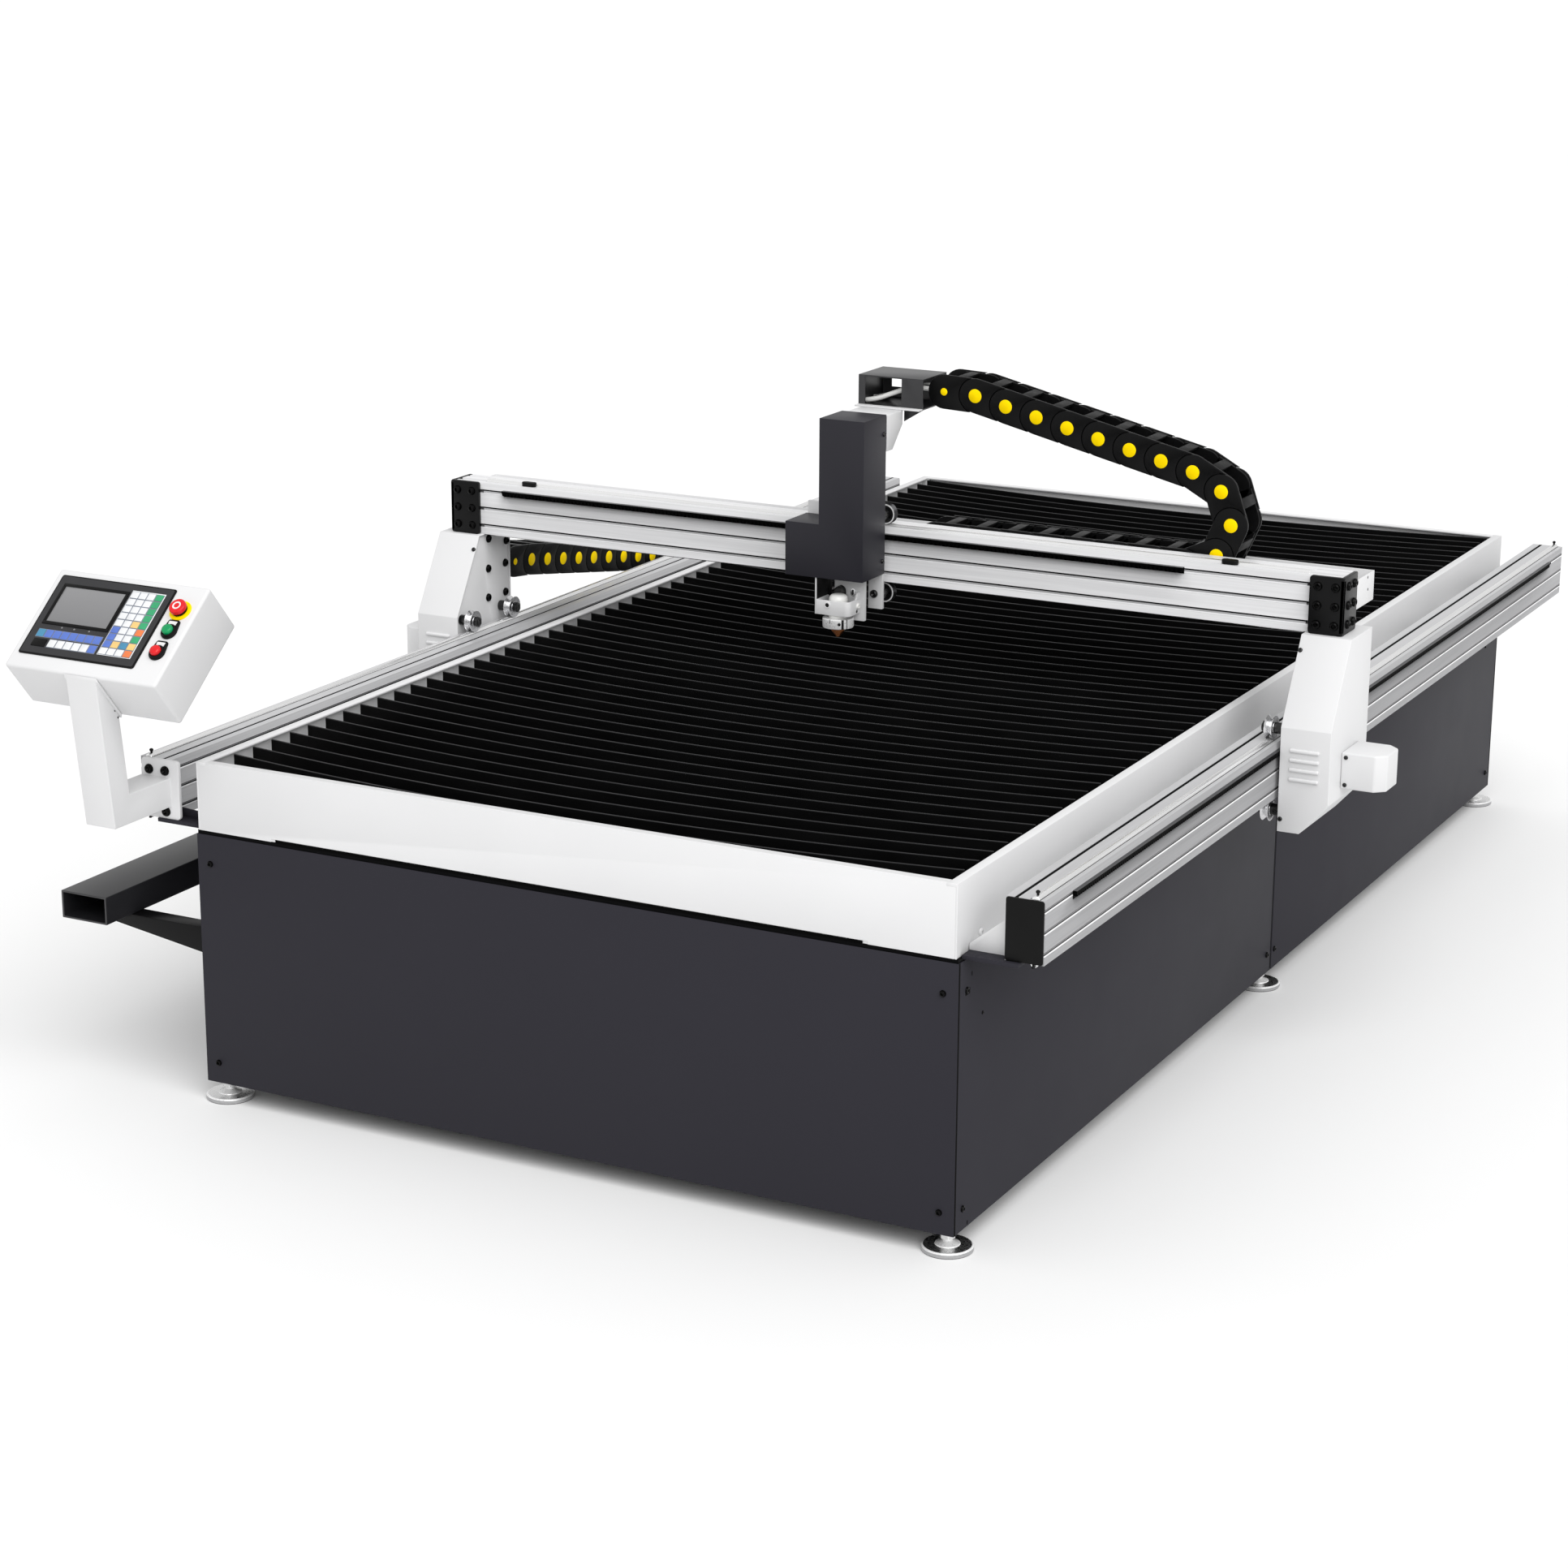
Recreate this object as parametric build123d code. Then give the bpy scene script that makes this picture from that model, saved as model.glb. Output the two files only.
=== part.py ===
"""Plasma cutting table: slatted bed, two side rails, a travelling gantry, a cutting head and a console."""

import os
from math import atan2, cos, degrees, hypot, pi, radians, sin, tan

from build123d import *

os.makedirs("parts", exist_ok=True)

# Frame: X across, Y from front to back, Z up, floor at zero.
# Y is measured here from the front of the tray and moved by FRAME_Y on export.
FRAME_Y = 1578.0

# Table
TRAY_W = 1650.0
TRAY_L = 3340.0
TRAY_H = 140.0
TRAY_TOP = 712.0
TRAY_SHEET = 4.0
TRAY_LIP = 20.0
BASE_W = 1660.0
BASE_BOTTOM = 42.0
PANEL_TOP = 564.0
PANEL = 2.0
ANGLE = 60.0
ANGLE_T = 5.0
FOOT_R = 48.5
FOOT_X = 802.0
FOOT_Y = (36.0, 1670.0, 3304.0)

# Slats
SLAT_COUNT = 52
SLAT_PITCH = 63.0
SLAT_FIRST = 87.0
SLAT_HALF = 787.0
SLAT_BOW = 68.0
SLAT_T = 4.0
SLAT_TOP = 707.0
SLAT_H = 90.0
SLAT_FACETS = 4

# Slotted extrusion used for the side rails and for the beam
EXT_W = 75.0
EXT_H = 120.0
SLOT_MOUTH = 8.0
SLOT_LIP = 4.0
SLOT_ROOM = 16.0
SLOT_DEPTH = 11.0
ROD_R = 8.0
ROD_INSET = 19.0
ROD_SINK = 2.0

# Side rails
RAIL_IN = 906.0
RAIL_TOP = 697.0
RAIL_Y0 = 27.0
RAIL_Y1 = 3350.0
ROD_X = RAIL_IN + EXT_W - ROD_INSET

# Rollers with a vee groove on the round rods
ROLL_GAP = 0.3
ROLL_RIM = 25.0
ROLL_BORE = 8.8
ROLL_AXLE = 7.9
ROLL_SIDES = 12
ROLL_REACH = 28.3

# Racks and pinions
MODULE = 3.0
Y_TEETH = 20
X_TEETH = 16
RACK_D = 8.0
RACK_H = 4.25

# Gantry, at its photographed place along the rails
BEAM_Y0 = 1322.0
BEAM_Z0 = 905.5
BEAM_HALF = 1064.0
LEG_IN = 990.0
LEG_OUT = 1097.0
LEG_SHEET = 2.5
LEG_BACK = 1432.0
PLATE_IN = 994.0
PLATE_T = 10.0
LEG_ROLL_Y = (1222.0, 1390.0)
Y_MOTOR_Y = 1323.0
Y_MOTOR_Z = 644.0
MOTOR = 57.0

# Cutting head
CAR_Y0 = 1283.0
CAR_Y1 = 1293.0
CAR_ROLL_X = (-92.0, 28.0)
X_MOTOR_X = -97.0
X_MOTOR_Z = 980.0
TORCH_X = -24.0
TORCH_Y = 1212.0

# Link chains
LINK_PITCH = 73.3
LINK_H = 76.0
LINK_END = 30.0
LINK_W = 90.0
LINK_T = 7.0
X_BEND_R = 101.0
Y_BEND_R = 99.0
PATH_STEP = 0.15
ARC_STEPS = 2000

# Console: face tilted towards a standing person
CON_X = -943.5
CON_W = 363.0
CON_Y = -11.4
CON_Z = 1071.0
CON_FACE = 242.0
CON_DEPTH = 120.0
CON_TILT = 39.7
PUSH_R = 12.5
PUSH_HOLE = 13.4
ESTOP_HOLE = 11.8


def block(x0, x1, y0, y1, z0, z1):
    """A box between two opposite corners."""
    return Pos((x0 + x1) / 2, (y0 + y1) / 2, (z0 + z1) / 2) * Box(x1 - x0, y1 - y0, z1 - z0)


def plate_yz(points, x0, x1):
    """A plate across X with its outline given as (y, z) points."""
    return extrude(Plane.YZ.offset(x0) * Polygon(*points, align=None), x1 - x0, dir=(1, 0, 0))


def plate_xz(points, y0, y1):
    """A plate across Y with its outline given as (x, z) points."""
    return extrude(Plane.XZ.offset(-y0) * Polygon(*points, align=None), y1 - y0, dir=(0, 1, 0))


def plate_xy(points, z0, z1):
    """A plate lying flat with its outline given as (x, y) points."""
    return extrude(Plane.XY.offset(z0) * Polygon(*points, align=None), z1 - z0, dir=(0, 0, 1))


def round_face(r, sides):
    """A disc, or a many-sided stand-in for one on small repeated pieces."""
    return RegularPolygon(r, sides) if sides else Circle(r)


def bar_x(y, z, r, x0, x1, sides=0):
    """A bar along X."""
    return extrude(Plane.YZ.offset(x0) * Pos(y, z) * round_face(r, sides), x1 - x0, dir=(1, 0, 0))


def bar_y(x, z, r, y0, y1, sides=0):
    """A bar along Y."""
    return extrude(Plane.XZ.offset(-y0) * Pos(x, z) * round_face(r, sides), y1 - y0, dir=(0, 1, 0))


def bar_z(x, y, r, z0, z1, sides=0):
    """A bar along Z."""
    return extrude(Plane.XY.offset(z0) * Pos(x, y) * round_face(r, sides), z1 - z0, dir=(0, 0, 1))


def taper_z(x, y, r0, r1, z0, z1, sides):
    """A many-sided bar along Z whose radius changes from r0 to r1, drawn from its wide end."""
    wide, narrow = max(r0, r1), min(r0, r1)
    lean = degrees(atan2((wide - narrow) * cos(pi / sides), z1 - z0))
    bar = extrude(RegularPolygon(wide, sides), z1 - z0, taper=lean)
    return Pos(x, y, z0) * bar if r0 > r1 else Pos(x, y, z1) * Rot(180, 0, 0) * bar


def both(shape):
    """The shape and its mirror image on the other side of the table."""
    return [shape, mirror(shape, about=Plane.YZ)]


def save(node, *shapes):
    """Write one node, moved into the shared frame."""
    solids = [Pos(0, -FRAME_Y, 0) * s for shape in shapes for s in shape.solids()]
    export_step(solids[0] if len(solids) == 1 else Compound(solids), f"parts/{node}.step")


def slot_points(at, along, into, mouth, lip, room, depth):
    """Corner points of one undercut slot, walked along an edge of the extrusion."""
    ax, az = along
    ix, iz = into
    steps = ((-mouth, 0), (-mouth, lip), (-room, lip), (-room, depth))
    steps += ((room, depth), (room, lip), (mouth, lip), (mouth, 0))
    return [(at[0] + ax * a / 2 + ix * d, at[1] + az * a / 2 + iz * d) for a, d in steps]


def extrusion_points():
    """Outline of the slotted extrusion, walked round from the lower inner corner."""
    wide = dict(mouth=SLOT_MOUTH, lip=SLOT_LIP, room=SLOT_ROOM, depth=SLOT_DEPTH)
    seat = 2 * ROD_R + 0.4
    deep = ROD_R + ROD_SINK
    outer = EXT_W - ROD_INSET
    points = [(0, 0)]
    points += slot_points((20, 0), (1, 0), (0, 1), **wide)
    points += [(outer - seat / 2, 0), (outer - seat / 2, deep)]
    points += [(outer + seat / 2, deep), (outer + seat / 2, 0), (EXT_W, 0)]
    for height in (20, 60, 100):
        points += slot_points((EXT_W, height), (0, 1), (-1, 0), **wide)
    points += [(EXT_W, EXT_H), (outer + seat / 2, EXT_H), (outer + seat / 2, EXT_H - deep)]
    points += [(outer - seat / 2, EXT_H - deep), (outer - seat / 2, EXT_H)]
    points += slot_points((20, EXT_H), (-1, 0), (0, -1), **wide)
    points += [(0, EXT_H)]
    for height in (100, 60, 20):
        points += slot_points((0, height), (0, -1), (1, 0), **wide)
    return points


def extrusion_section():
    """The section with its two hollow chambers."""
    section = Polygon(*extrusion_points(), align=None)
    for height in (40, 80):
        section -= Pos(EXT_W / 2, height) * Rectangle(39, 26)
    return section


def vee_roller(axis_plane):
    """A roller with a vee groove, set so that its axle runs along the Z axis of a plane."""
    apex = ROLL_REACH - (ROD_R + ROLL_GAP) * 2**0.5
    half = ROLL_RIM - apex
    flare = taper_z(0, 0, apex, ROLL_RIM, 0, half, ROLL_SIDES)
    roller = flare + mirror(flare, about=Plane.XY)
    roller -= bar_z(0, 0, ROLL_BORE, -2 * half, 2 * half, sides=8)
    return axis_plane * roller


def pinion_section(teeth):
    """Outline of a spur pinion with straight-flanked teeth."""
    pitch_r = MODULE * teeth / 2
    step = 2 * pi / teeth
    points = []
    for i in range(teeth):
        for share, r in ((-0.32, -1.25), (-0.13, 1.0), (0.13, 1.0), (0.32, -1.25)):
            angle = (i + share) * step
            reach = pitch_r + r * MODULE
            points.append((reach * cos(angle), reach * sin(angle)))
    return Polygon(*points, align=None)


def walk(path, pitch, count):
    """Points one pitch apart, measured straight, along a path of close points."""
    found = [path[0]]
    for point in path:
        if hypot(point[0] - found[-1][0], point[1] - found[-1][1]) >= pitch:
            found.append(point)
        if len(found) == count:
            break
    return found


def straight(a, b):
    """Close points from a up to b."""
    count = max(2, round(hypot(b[0] - a[0], b[1] - a[1]) / PATH_STEP))
    return [(a[0] + (b[0] - a[0]) * i / count, a[1] + (b[1] - a[1]) * i / count) for i in range(count)]


def chain_path(start, lead, slope, level, low, end, bend):
    """A link chain's line: a lead, a sloping run, a level run, a half turn and a lower run."""
    tilt = radians(slope)
    entry = 0 if level else tilt
    turn_z = low + bend * (1 + cos(entry))
    first = (start[0] + lead, start[1])
    knee = (first[0] + (first[1] - turn_z) / tan(tilt), turn_z)
    turn = (knee[0] + level, turn_z)
    centre = (turn[0] - bend * sin(entry), low + bend)
    points = straight(start, first) + straight(first, knee) + straight(knee, turn)
    for i in range(ARC_STEPS):
        angle = pi / 2 - entry - (pi - entry) * i / ARC_STEPS
        points.append((centre[0] + bend * cos(angle), centre[1] + bend * sin(angle)))
    return points + straight((centre[0], low), (end, low))


def chain_links(pivots, across, lay):
    """Links with side plates and two cross bars; every second link sits inside its neighbours."""
    links = []
    for i, (a, b) in enumerate(zip(pivots, pivots[1:])):
        length = hypot(b[0] - a[0], b[1] - a[1])
        turn = atan2(b[1] - a[1], b[0] - a[0])

        def place(along, up, a=a, turn=turn):
            return (a[0] + along * cos(turn) - up * sin(turn), a[1] + along * sin(turn) + up * cos(turn))

        tall = LINK_H / 2
        half = [(-LINK_END, -12), (-14, -tall), (length + 14, -tall), (length + LINK_END, -12)]
        if i % 2:
            half = [(-14, -tall), (length + 14, -tall)]
        outline = half + [(along, -up) for along, up in reversed(half)]
        inset = (i % 2) * (LINK_T + 0.4)
        near, far = across[0] + inset, across[1] - inset
        link = lay([place(*p) for p in outline], near, near + LINK_T)
        link += lay([place(*p) for p in outline], far - LINK_T, far)
        for up in (tall - 4, 4 - tall)[i % 2 :]:
            bar = [(length / 2 - 11, up - 3), (length / 2 + 11, up - 3)]
            bar += [(length / 2 + 11, up + 3), (length / 2 - 11, up + 3)]
            link += lay([place(*p) for p in bar], near + LINK_T, far - LINK_T)
        links.append(link)
    return links


# Base: an angle-iron frame with sheet panels; members stop short by a weld gap
half_frame = BASE_W / 2 - PANEL
frame_top = TRAY_TOP - TRAY_H
frame_back = TRAY_L - PANEL
WELD = 0.4
inside = half_frame - ANGLE - WELD
levels = ((BASE_BOTTOM, BASE_BOTTOM), (frame_top - ANGLE, frame_top - ANGLE_T))
stations = ((PANEL, PANEL), (1640.0, 1667.5), (frame_back - ANGLE, frame_back - ANGLE_T))
members = []
for y0, face_y in stations:
    post = block(half_frame - ANGLE_T, half_frame, y0, y0 + ANGLE, BASE_BOTTOM, frame_top)
    post += block(half_frame - ANGLE, half_frame, face_y, face_y + ANGLE_T, BASE_BOTTOM, frame_top)
    members += both(post)
    for z0, flat in levels:
        cross = block(-inside, inside, face_y, face_y + ANGLE_T, z0, z0 + ANGLE)
        members.append(cross + block(-inside, inside, y0, y0 + ANGLE, flat, flat + ANGLE_T))
for (y0, _), (y1, _) in zip(stations, stations[1:]):
    span = (y0 + ANGLE + WELD, y1 - WELD)
    for z0, flat in levels:
        runner = block(half_frame - ANGLE_T, half_frame, *span, z0, z0 + ANGLE)
        members += both(runner + block(half_frame - ANGLE, half_frame, *span, flat, flat + ANGLE_T))
save("base_frame", *members)

front_panel = block(-BASE_W / 2, BASE_W / 2, 0, PANEL, BASE_BOTTOM, PANEL_TOP)
rear_panel = block(-BASE_W / 2, BASE_W / 2, frame_back, TRAY_L, BASE_BOTTOM, PANEL_TOP)
save("end_panels", front_panel, rear_panel)
side_front = block(half_frame, BASE_W / 2, PANEL + 0.5, 1667, BASE_BOTTOM, PANEL_TOP)
side_rear = block(half_frame, BASE_W / 2, 1671, frame_back - 0.5, BASE_BOTTOM, PANEL_TOP)
save("side_panels", *both(side_front), *both(side_rear))

# Levelling feet: a disc with a hub, a stud and a lock nut under the frame
feet = []
for x in (-FOOT_X, FOOT_X):
    for y in FOOT_Y:
        foot = bar_z(x, y, FOOT_R, 0, 11, sides=12) + bar_z(x, y, 10, 11, 24, sides=6)
        foot += bar_z(x, y, 15, 24, BASE_BOTTOM, sides=6)
        feet.append(foot)
save("levelling_feet", *feet)

# Tray: a floor, two side walls with slat ledges and two end walls, all with a folded rim
inner = TRAY_W / 2 - TRAY_SHEET
rim = TRAY_W / 2 - TRAY_LIP
tray_floor = TRAY_TOP - TRAY_H
lip_low = TRAY_TOP - TRAY_SHEET
ledge = SLAT_TOP - SLAT_H
side_wall = block(inner, TRAY_W / 2, 0, TRAY_L, tray_floor, TRAY_TOP)
side_wall += block(rim, TRAY_W / 2, 0, TRAY_L, lip_low, TRAY_TOP)
side_wall += block(770, TRAY_W / 2, TRAY_LIP + 1, TRAY_L - TRAY_LIP - 1, ledge - 5, ledge)
half_end = inner - WELD
end_wall = block(-half_end, half_end, 0, TRAY_SHEET, tray_floor, TRAY_TOP)
half_rim = rim - WELD
end_wall += block(-half_rim, half_rim, 0, TRAY_LIP, lip_low, TRAY_TOP)
front_wall = end_wall - block(-650, 650, -1, 1.5, tray_floor - 1, tray_floor + 6)
rear_wall = Pos(0, TRAY_L, 0) * mirror(end_wall, about=Plane.XZ)
floor_y = TRAY_SHEET + WELD
floor = block(-half_end, half_end, floor_y, TRAY_L - floor_y, tray_floor, tray_floor + TRAY_SHEET)
save("tray_frame", floor, *both(side_wall), front_wall, rear_wall)

# Bowed slats standing on the ledges
slats = []
for i in range(SLAT_COUNT):
    line = []
    for k in range(SLAT_FACETS + 1):
        x = SLAT_HALF * (2 * k / SLAT_FACETS - 1)
        line.append((x, SLAT_FIRST + SLAT_PITCH * i - SLAT_BOW * (1 - (x / SLAT_HALF) ** 2)))
    outline = [(x, y - SLAT_T / 2) for x, y in line] + [(x, y + SLAT_T / 2) for x, y in reversed(line)]
    slats.append(plate_xy(outline, ledge, SLAT_TOP))
save("cutting_slats", *slats)

# Side rails, their round rods, racks, end caps and stops
rail_section = Plane.XZ.offset(-RAIL_Y1) * Pos(RAIL_IN, RAIL_TOP - EXT_H) * extrusion_section()
rail = extrude(rail_section, RAIL_Y1 - RAIL_Y0)
save("side_rails", *both(rail))
rods = both(bar_y(ROD_X, RAIL_TOP - ROD_SINK, ROD_R, RAIL_Y0, RAIL_Y1, sides=16))
rods += both(bar_y(ROD_X, RAIL_TOP - EXT_H + ROD_SINK, ROD_R, RAIL_Y0, RAIL_Y1, sides=16))
save("rail_guide_rods", *rods)

rail_out = RAIL_IN + EXT_W
y_pitch_r = MODULE * Y_TEETH / 2
y_rack_z = Y_MOTOR_Z + y_pitch_r + 1.25 * MODULE
save("y_racks", *both(block(rail_out, rail_out + RACK_D, 149, 3221, y_rack_z, y_rack_z + RACK_H)))

cap_z = RAIL_TOP - EXT_H
caps = [block(RAIL_IN, rail_out, RAIL_Y0 - 4, RAIL_Y0, cap_z, RAIL_TOP)]
caps += both(block(RAIL_IN, rail_out, RAIL_Y1, RAIL_Y1 + 4, cap_z, RAIL_TOP))
stop_z = RAIL_TOP - ROD_SINK + ROD_R
for y in (37.0, 3340.0):
    caps += both(bar_z(ROD_X, y, 8, stop_z, stop_z + 9, sides=6))
save("rail_end_caps", *caps)

# Brackets that carry the rails and the chain tube
TUBE_IN = 1012.0
TUBE_OUT = 1124.0
TUBE_TOP = 420.0
TUBE_H = 58.0
brackets = []
for i in range(7):
    y = 37.5 + i * (3303 - 37.5) / 6
    foot_plate = block(half_frame, 937, y - 22.5, y + 22.5, cap_z - 8, cap_z)
    web = [(half_frame, cap_z), (RAIL_IN, cap_z), (RAIL_IN, cap_z + 74), (half_frame, cap_z + 12)]
    brackets += both(foot_plate + plate_xz(web, y + 10, y + 15))
tube_low = TUBE_TOP - TUBE_H
for y in (35.0, 870.0, 1670.0, 2500.0, 3305.0):
    arm = [(-BASE_W / 2, tube_low), (-TUBE_OUT, tube_low)]
    arm += [(-TUBE_OUT, tube_low - 12), (-BASE_W / 2, tube_low - 55)]
    brackets.append(plate_xz(arm, y - 20, y + 20))
save("side_brackets", *brackets)

tube = block(-TUBE_OUT, -TUBE_IN, -68, 3354, tube_low, TUBE_TOP)
tube -= block(-TUBE_OUT + 4, -TUBE_IN - 4, -70, 3360, tube_low + 4, TUBE_TOP - 4)
save("chain_tube", tube)

# Console: tilted box on a leaning post, with its panel and buttons
tilt = radians(CON_TILT)
down = (-cos(tilt), -sin(tilt))
back = (sin(tilt), -cos(tilt))
face = Plane(origin=(CON_X, CON_Y, CON_Z), x_dir=(1, 0, 0), z_dir=(0, -back[0], -back[1]))
ESTOP_AT = (140.0, -60.0)
GREEN_AT = (138.5, -111.0)
RED_AT = (136.0, -161.5)


def on_face(shape):
    """Set a shape drawn on the console face into place."""
    return face * shape


def disc(at, r, z0, z1):
    """A round piece on the console face between two heights above it."""
    return bar_z(at[0], at[1], r, z0, z1, sides=12)


def slab(a0, a1, b0, b1, z0, z1):
    """A flat piece on the console face; a runs across and b down from the top edge."""
    return Pos((a0 + a1) / 2, -(b0 + b1) / 2, (z0 + z1) / 2) * Box(a1 - a0, b1 - b0, z1 - z0)


half_con = CON_W / 2
housing = slab(-half_con, half_con, 0, CON_FACE, -CON_DEPTH, 0)
housing -= slab(-half_con + 2, half_con - 2, 2, CON_FACE - 2, -CON_DEPTH + 2, -2)
housing -= slab(-20, 20, CON_FACE - 5, CON_FACE + 5, -80, -40)
housing -= disc(ESTOP_AT, ESTOP_HOLE, -5, 5)
housing -= disc(GREEN_AT, PUSH_HOLE, -5, 5)
housing -= disc(RED_AT, PUSH_HOLE, -5, 5)
save("console_housing", on_face(housing))
save("control_bezel", on_face(slab(-165, 113, 16, 210, 0, 3)))
save("display_screen", on_face(slab(-141, 5, 44, 130, 3, 4.5)))
save("keypad_keys", on_face(slab(17, 94, 34, 189, 3, 4.2)), on_face(slab(-146, 10, 149, 191, 3, 4.2)))
save("estop_plate", on_face(disc(ESTOP_AT, 25.5, 0, 3) - disc(ESTOP_AT, ESTOP_HOLE, -1, 4)))
BASE_ARCS = ((10.0, 12.5, 0.0), (17.0, 0.0, pi))
bases = []
for at in (GREEN_AT, RED_AT):
    pear = []
    for r, up, start in BASE_ARCS:
        turns = [start + pi * i / 8 for i in range(9)]
        pear += [(at[0] + r * cos(turn), at[1] + up + r * sin(turn)) for turn in turns]
    bases.append(on_face(plate_xy(pear, 0, 5) - disc(at, PUSH_HOLE, -1, 6)))
save("button_bases", *bases)
save("estop_cap", on_face(disc(ESTOP_AT, 11, -10, 12) + disc(ESTOP_AT, 19.5, 12, 25)))
save("green_button", on_face(disc(GREEN_AT, PUSH_R, -8, 9)))
save("red_button", on_face(disc(RED_AT, PUSH_R, -8, 9)))

low_front = (CON_Y + CON_FACE * down[0], CON_Z + CON_FACE * down[1])
ARM_X = (-975.5, -904.0)
ARM_LEAN = 38.0 / 304.0
ARM_Z0 = 603.0
ARM_Z1 = 662.0
ARM_Y0 = -158.5
POST_DEPTH = 57.0
COLLAR = 4.0
COLLAR_H = 10.0


def under_console(y_foot):
    """Where a leaning post edge meets the lower face of the console box."""
    reach = (low_front[0] - y_foot) + ARM_LEAN * (low_front[1] - ARM_Z0)
    share = -reach / (back[0] + ARM_LEAN * back[1])
    return (low_front[0] + share * back[0], low_front[1] + share * back[1])


post_back = ARM_Y0 + POST_DEPTH
post = [(ARM_Y0, ARM_Z0), under_console(ARM_Y0), under_console(post_back), (post_back, ARM_Z0)]
arm = plate_yz(post, *ARM_X)
collar = [under_console(ARM_Y0), under_console(post_back + COLLAR)]
collar += [(y + COLLAR_H * ARM_LEAN, z - COLLAR_H) for y, z in reversed(collar)]
arm += plate_yz(collar, ARM_X[0] - COLLAR, ARM_X[1] + COLLAR)
arm += block(*ARM_X, ARM_Y0 + POST_DEPTH / 2, RAIL_Y0 - 8, ARM_Z0, ARM_Z1)
wall_plate = Plane.XZ.offset(8 - RAIL_Y0) * Pos(-926, 636) * RectangleRounded(84, 118, 6)
arm += extrude(wall_plate, 8, dir=(0, 1, 0))
save("console_arm", arm)

# Gantry beam with its rods, brackets, rack and stops
beam_top = BEAM_Z0 + EXT_H
beam_section = mirror(Pos(-EXT_W / 2, 0) * extrusion_section(), about=Plane.YZ)
beam = extrude(Plane.YZ.offset(-BEAM_HALF) * beam_section, 2 * BEAM_HALF)
beam = Pos(0, BEAM_Y0 + EXT_W / 2, BEAM_Z0) * beam
save("gantry_beam", beam)
rod_y = BEAM_Y0 + ROD_INSET
top_rod = bar_x(rod_y, beam_top - ROD_SINK, ROD_R, -990, 990, sides=16)
low_rod = bar_x(rod_y, BEAM_Z0 + ROD_SINK, ROD_R, -980, 980, sides=16)
save("beam_guide_rods", top_rod, low_rod)

BRACKET_IN = 998.0
BRACKET_OUT = 1072.0
bracket = block(BRACKET_IN, BRACKET_OUT, BEAM_Y0 - 10, BEAM_Y0, BEAM_Z0, beam_top + 1)
bracket += block(BEAM_HALF, BRACKET_OUT, BEAM_Y0 - 10, BEAM_Y0 + EXT_W, BEAM_Z0, beam_top + 1)
save("beam_end_brackets", *both(bracket))

bolts = []
for x in (1016, 1054):
    for height in (20, 60, 100):
        bolts += both(bar_y(x, BEAM_Z0 + height, 8, BEAM_Y0 - 17, BEAM_Y0 - 10, sides=6))
for y in (BEAM_Y0 + 20, BEAM_Y0 + 55):
    for height in (20, 60, 100):
        bolts += both(bar_x(y, BEAM_Z0 + height, 8, BRACKET_OUT, BRACKET_OUT + 7, sides=6))
for y, z in ((1344, 890), (1341, 820), (1339, 752), (1414, 820), (1413, 751)):
    bolts += both(bar_x(y, z, 8, PLATE_IN - 6, PLATE_IN, sides=6))
save("gantry_bolts", *bolts)

x_pitch_r = MODULE * X_TEETH / 2
x_rack_z = X_MOTOR_Z + x_pitch_r + 1.25 * MODULE
save("x_rack", block(-936, 723, BEAM_Y0 - RACK_D - 2, BEAM_Y0, x_rack_z, x_rack_z + RACK_H))

rod_high = beam_top - ROD_SINK + ROD_R
STOP_OVAL = ((1, 23, 0), (1, 18, 8), (-1, 18, 8), (-1, 23, 0), (-1, 18, -8), (1, 18, -8))
stops = []
for x in (-874.0, 818.0):
    oval = [(x + side * reach, rod_y + up) for side, reach, up in STOP_OVAL]
    stops.append(plate_xy(oval, rod_high, rod_high + 9))
save("beam_stops", *stops)

# Legs: a thick plate inside a folded cover, drive motors and their outer covers
plate_outline = [(1210, 514), (1210, 729), (1311, BEAM_Z0), (1429, BEAM_Z0), (1429, 514)]
leg_plate = plate_yz(plate_outline, PLATE_IN, PLATE_IN + PLATE_T)
gear_hole = y_pitch_r + MODULE + 5
leg_plate -= bar_x(Y_MOTOR_Y, Y_MOTOR_Z, gear_hole, PLATE_IN - 1, PLATE_IN + PLATE_T + 1, sides=16)
save("leg_plates", *both(leg_plate))


def leg_shell(grow, x0, x1):
    """Leg cover volume, shrunk by a sheet thickness on every face but the open inner one."""
    rows = [(1203 + grow, 511 + grow), (1200 + grow, 732), (1300 + 0.6 * grow, 905 - grow)]
    rows += [(LEG_BACK - grow, 905 - grow), (LEG_BACK - grow, 511 + grow)]
    body = plate_yz(rows, x0, x1)
    cut = [(1037 - grow, 400), (1037 - grow, 511), (1099 - grow, 580), (1200, 580 + 113), (1200, 400)]
    return body - plate_xz(cut, 1150, 1500)


cover = leg_shell(0, LEG_IN, LEG_OUT) - leg_shell(LEG_SHEET, LEG_IN - 5, LEG_OUT - LEG_SHEET)
cover -= block(LEG_OUT - 10, LEG_OUT + 10, 1285, 1361, 606, 674)
cover -= block(LEG_IN - 5, PLATE_IN + PLATE_T, 1307, LEG_BACK - LEG_SHEET, 890, 910)
for i in range(4):
    z = 687 - 18.7 * i
    louvre = [(1200.6, z + 4), (1195, z - 2), (1195, z - 5), (1202, z - 5)]
    cover += plate_yz(louvre, 1009, 1073)
save("leg_covers", *both(cover))

hood_front = [(LEG_OUT, 1271), (1165, 1271), (1190, 1292), (1190, 1355), (1165, 1376), (LEG_OUT, 1376)]
hood_in = [(LEG_OUT - 5, 1273), (1164, 1273), (1188, 1293), (1188, 1354), (1164, 1374), (LEG_OUT - 5, 1374)]
hood = plate_xy(hood_front, 599, 676) - plate_xy(hood_in, 601, 674)
save("motor_covers", *both(hood))

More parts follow.
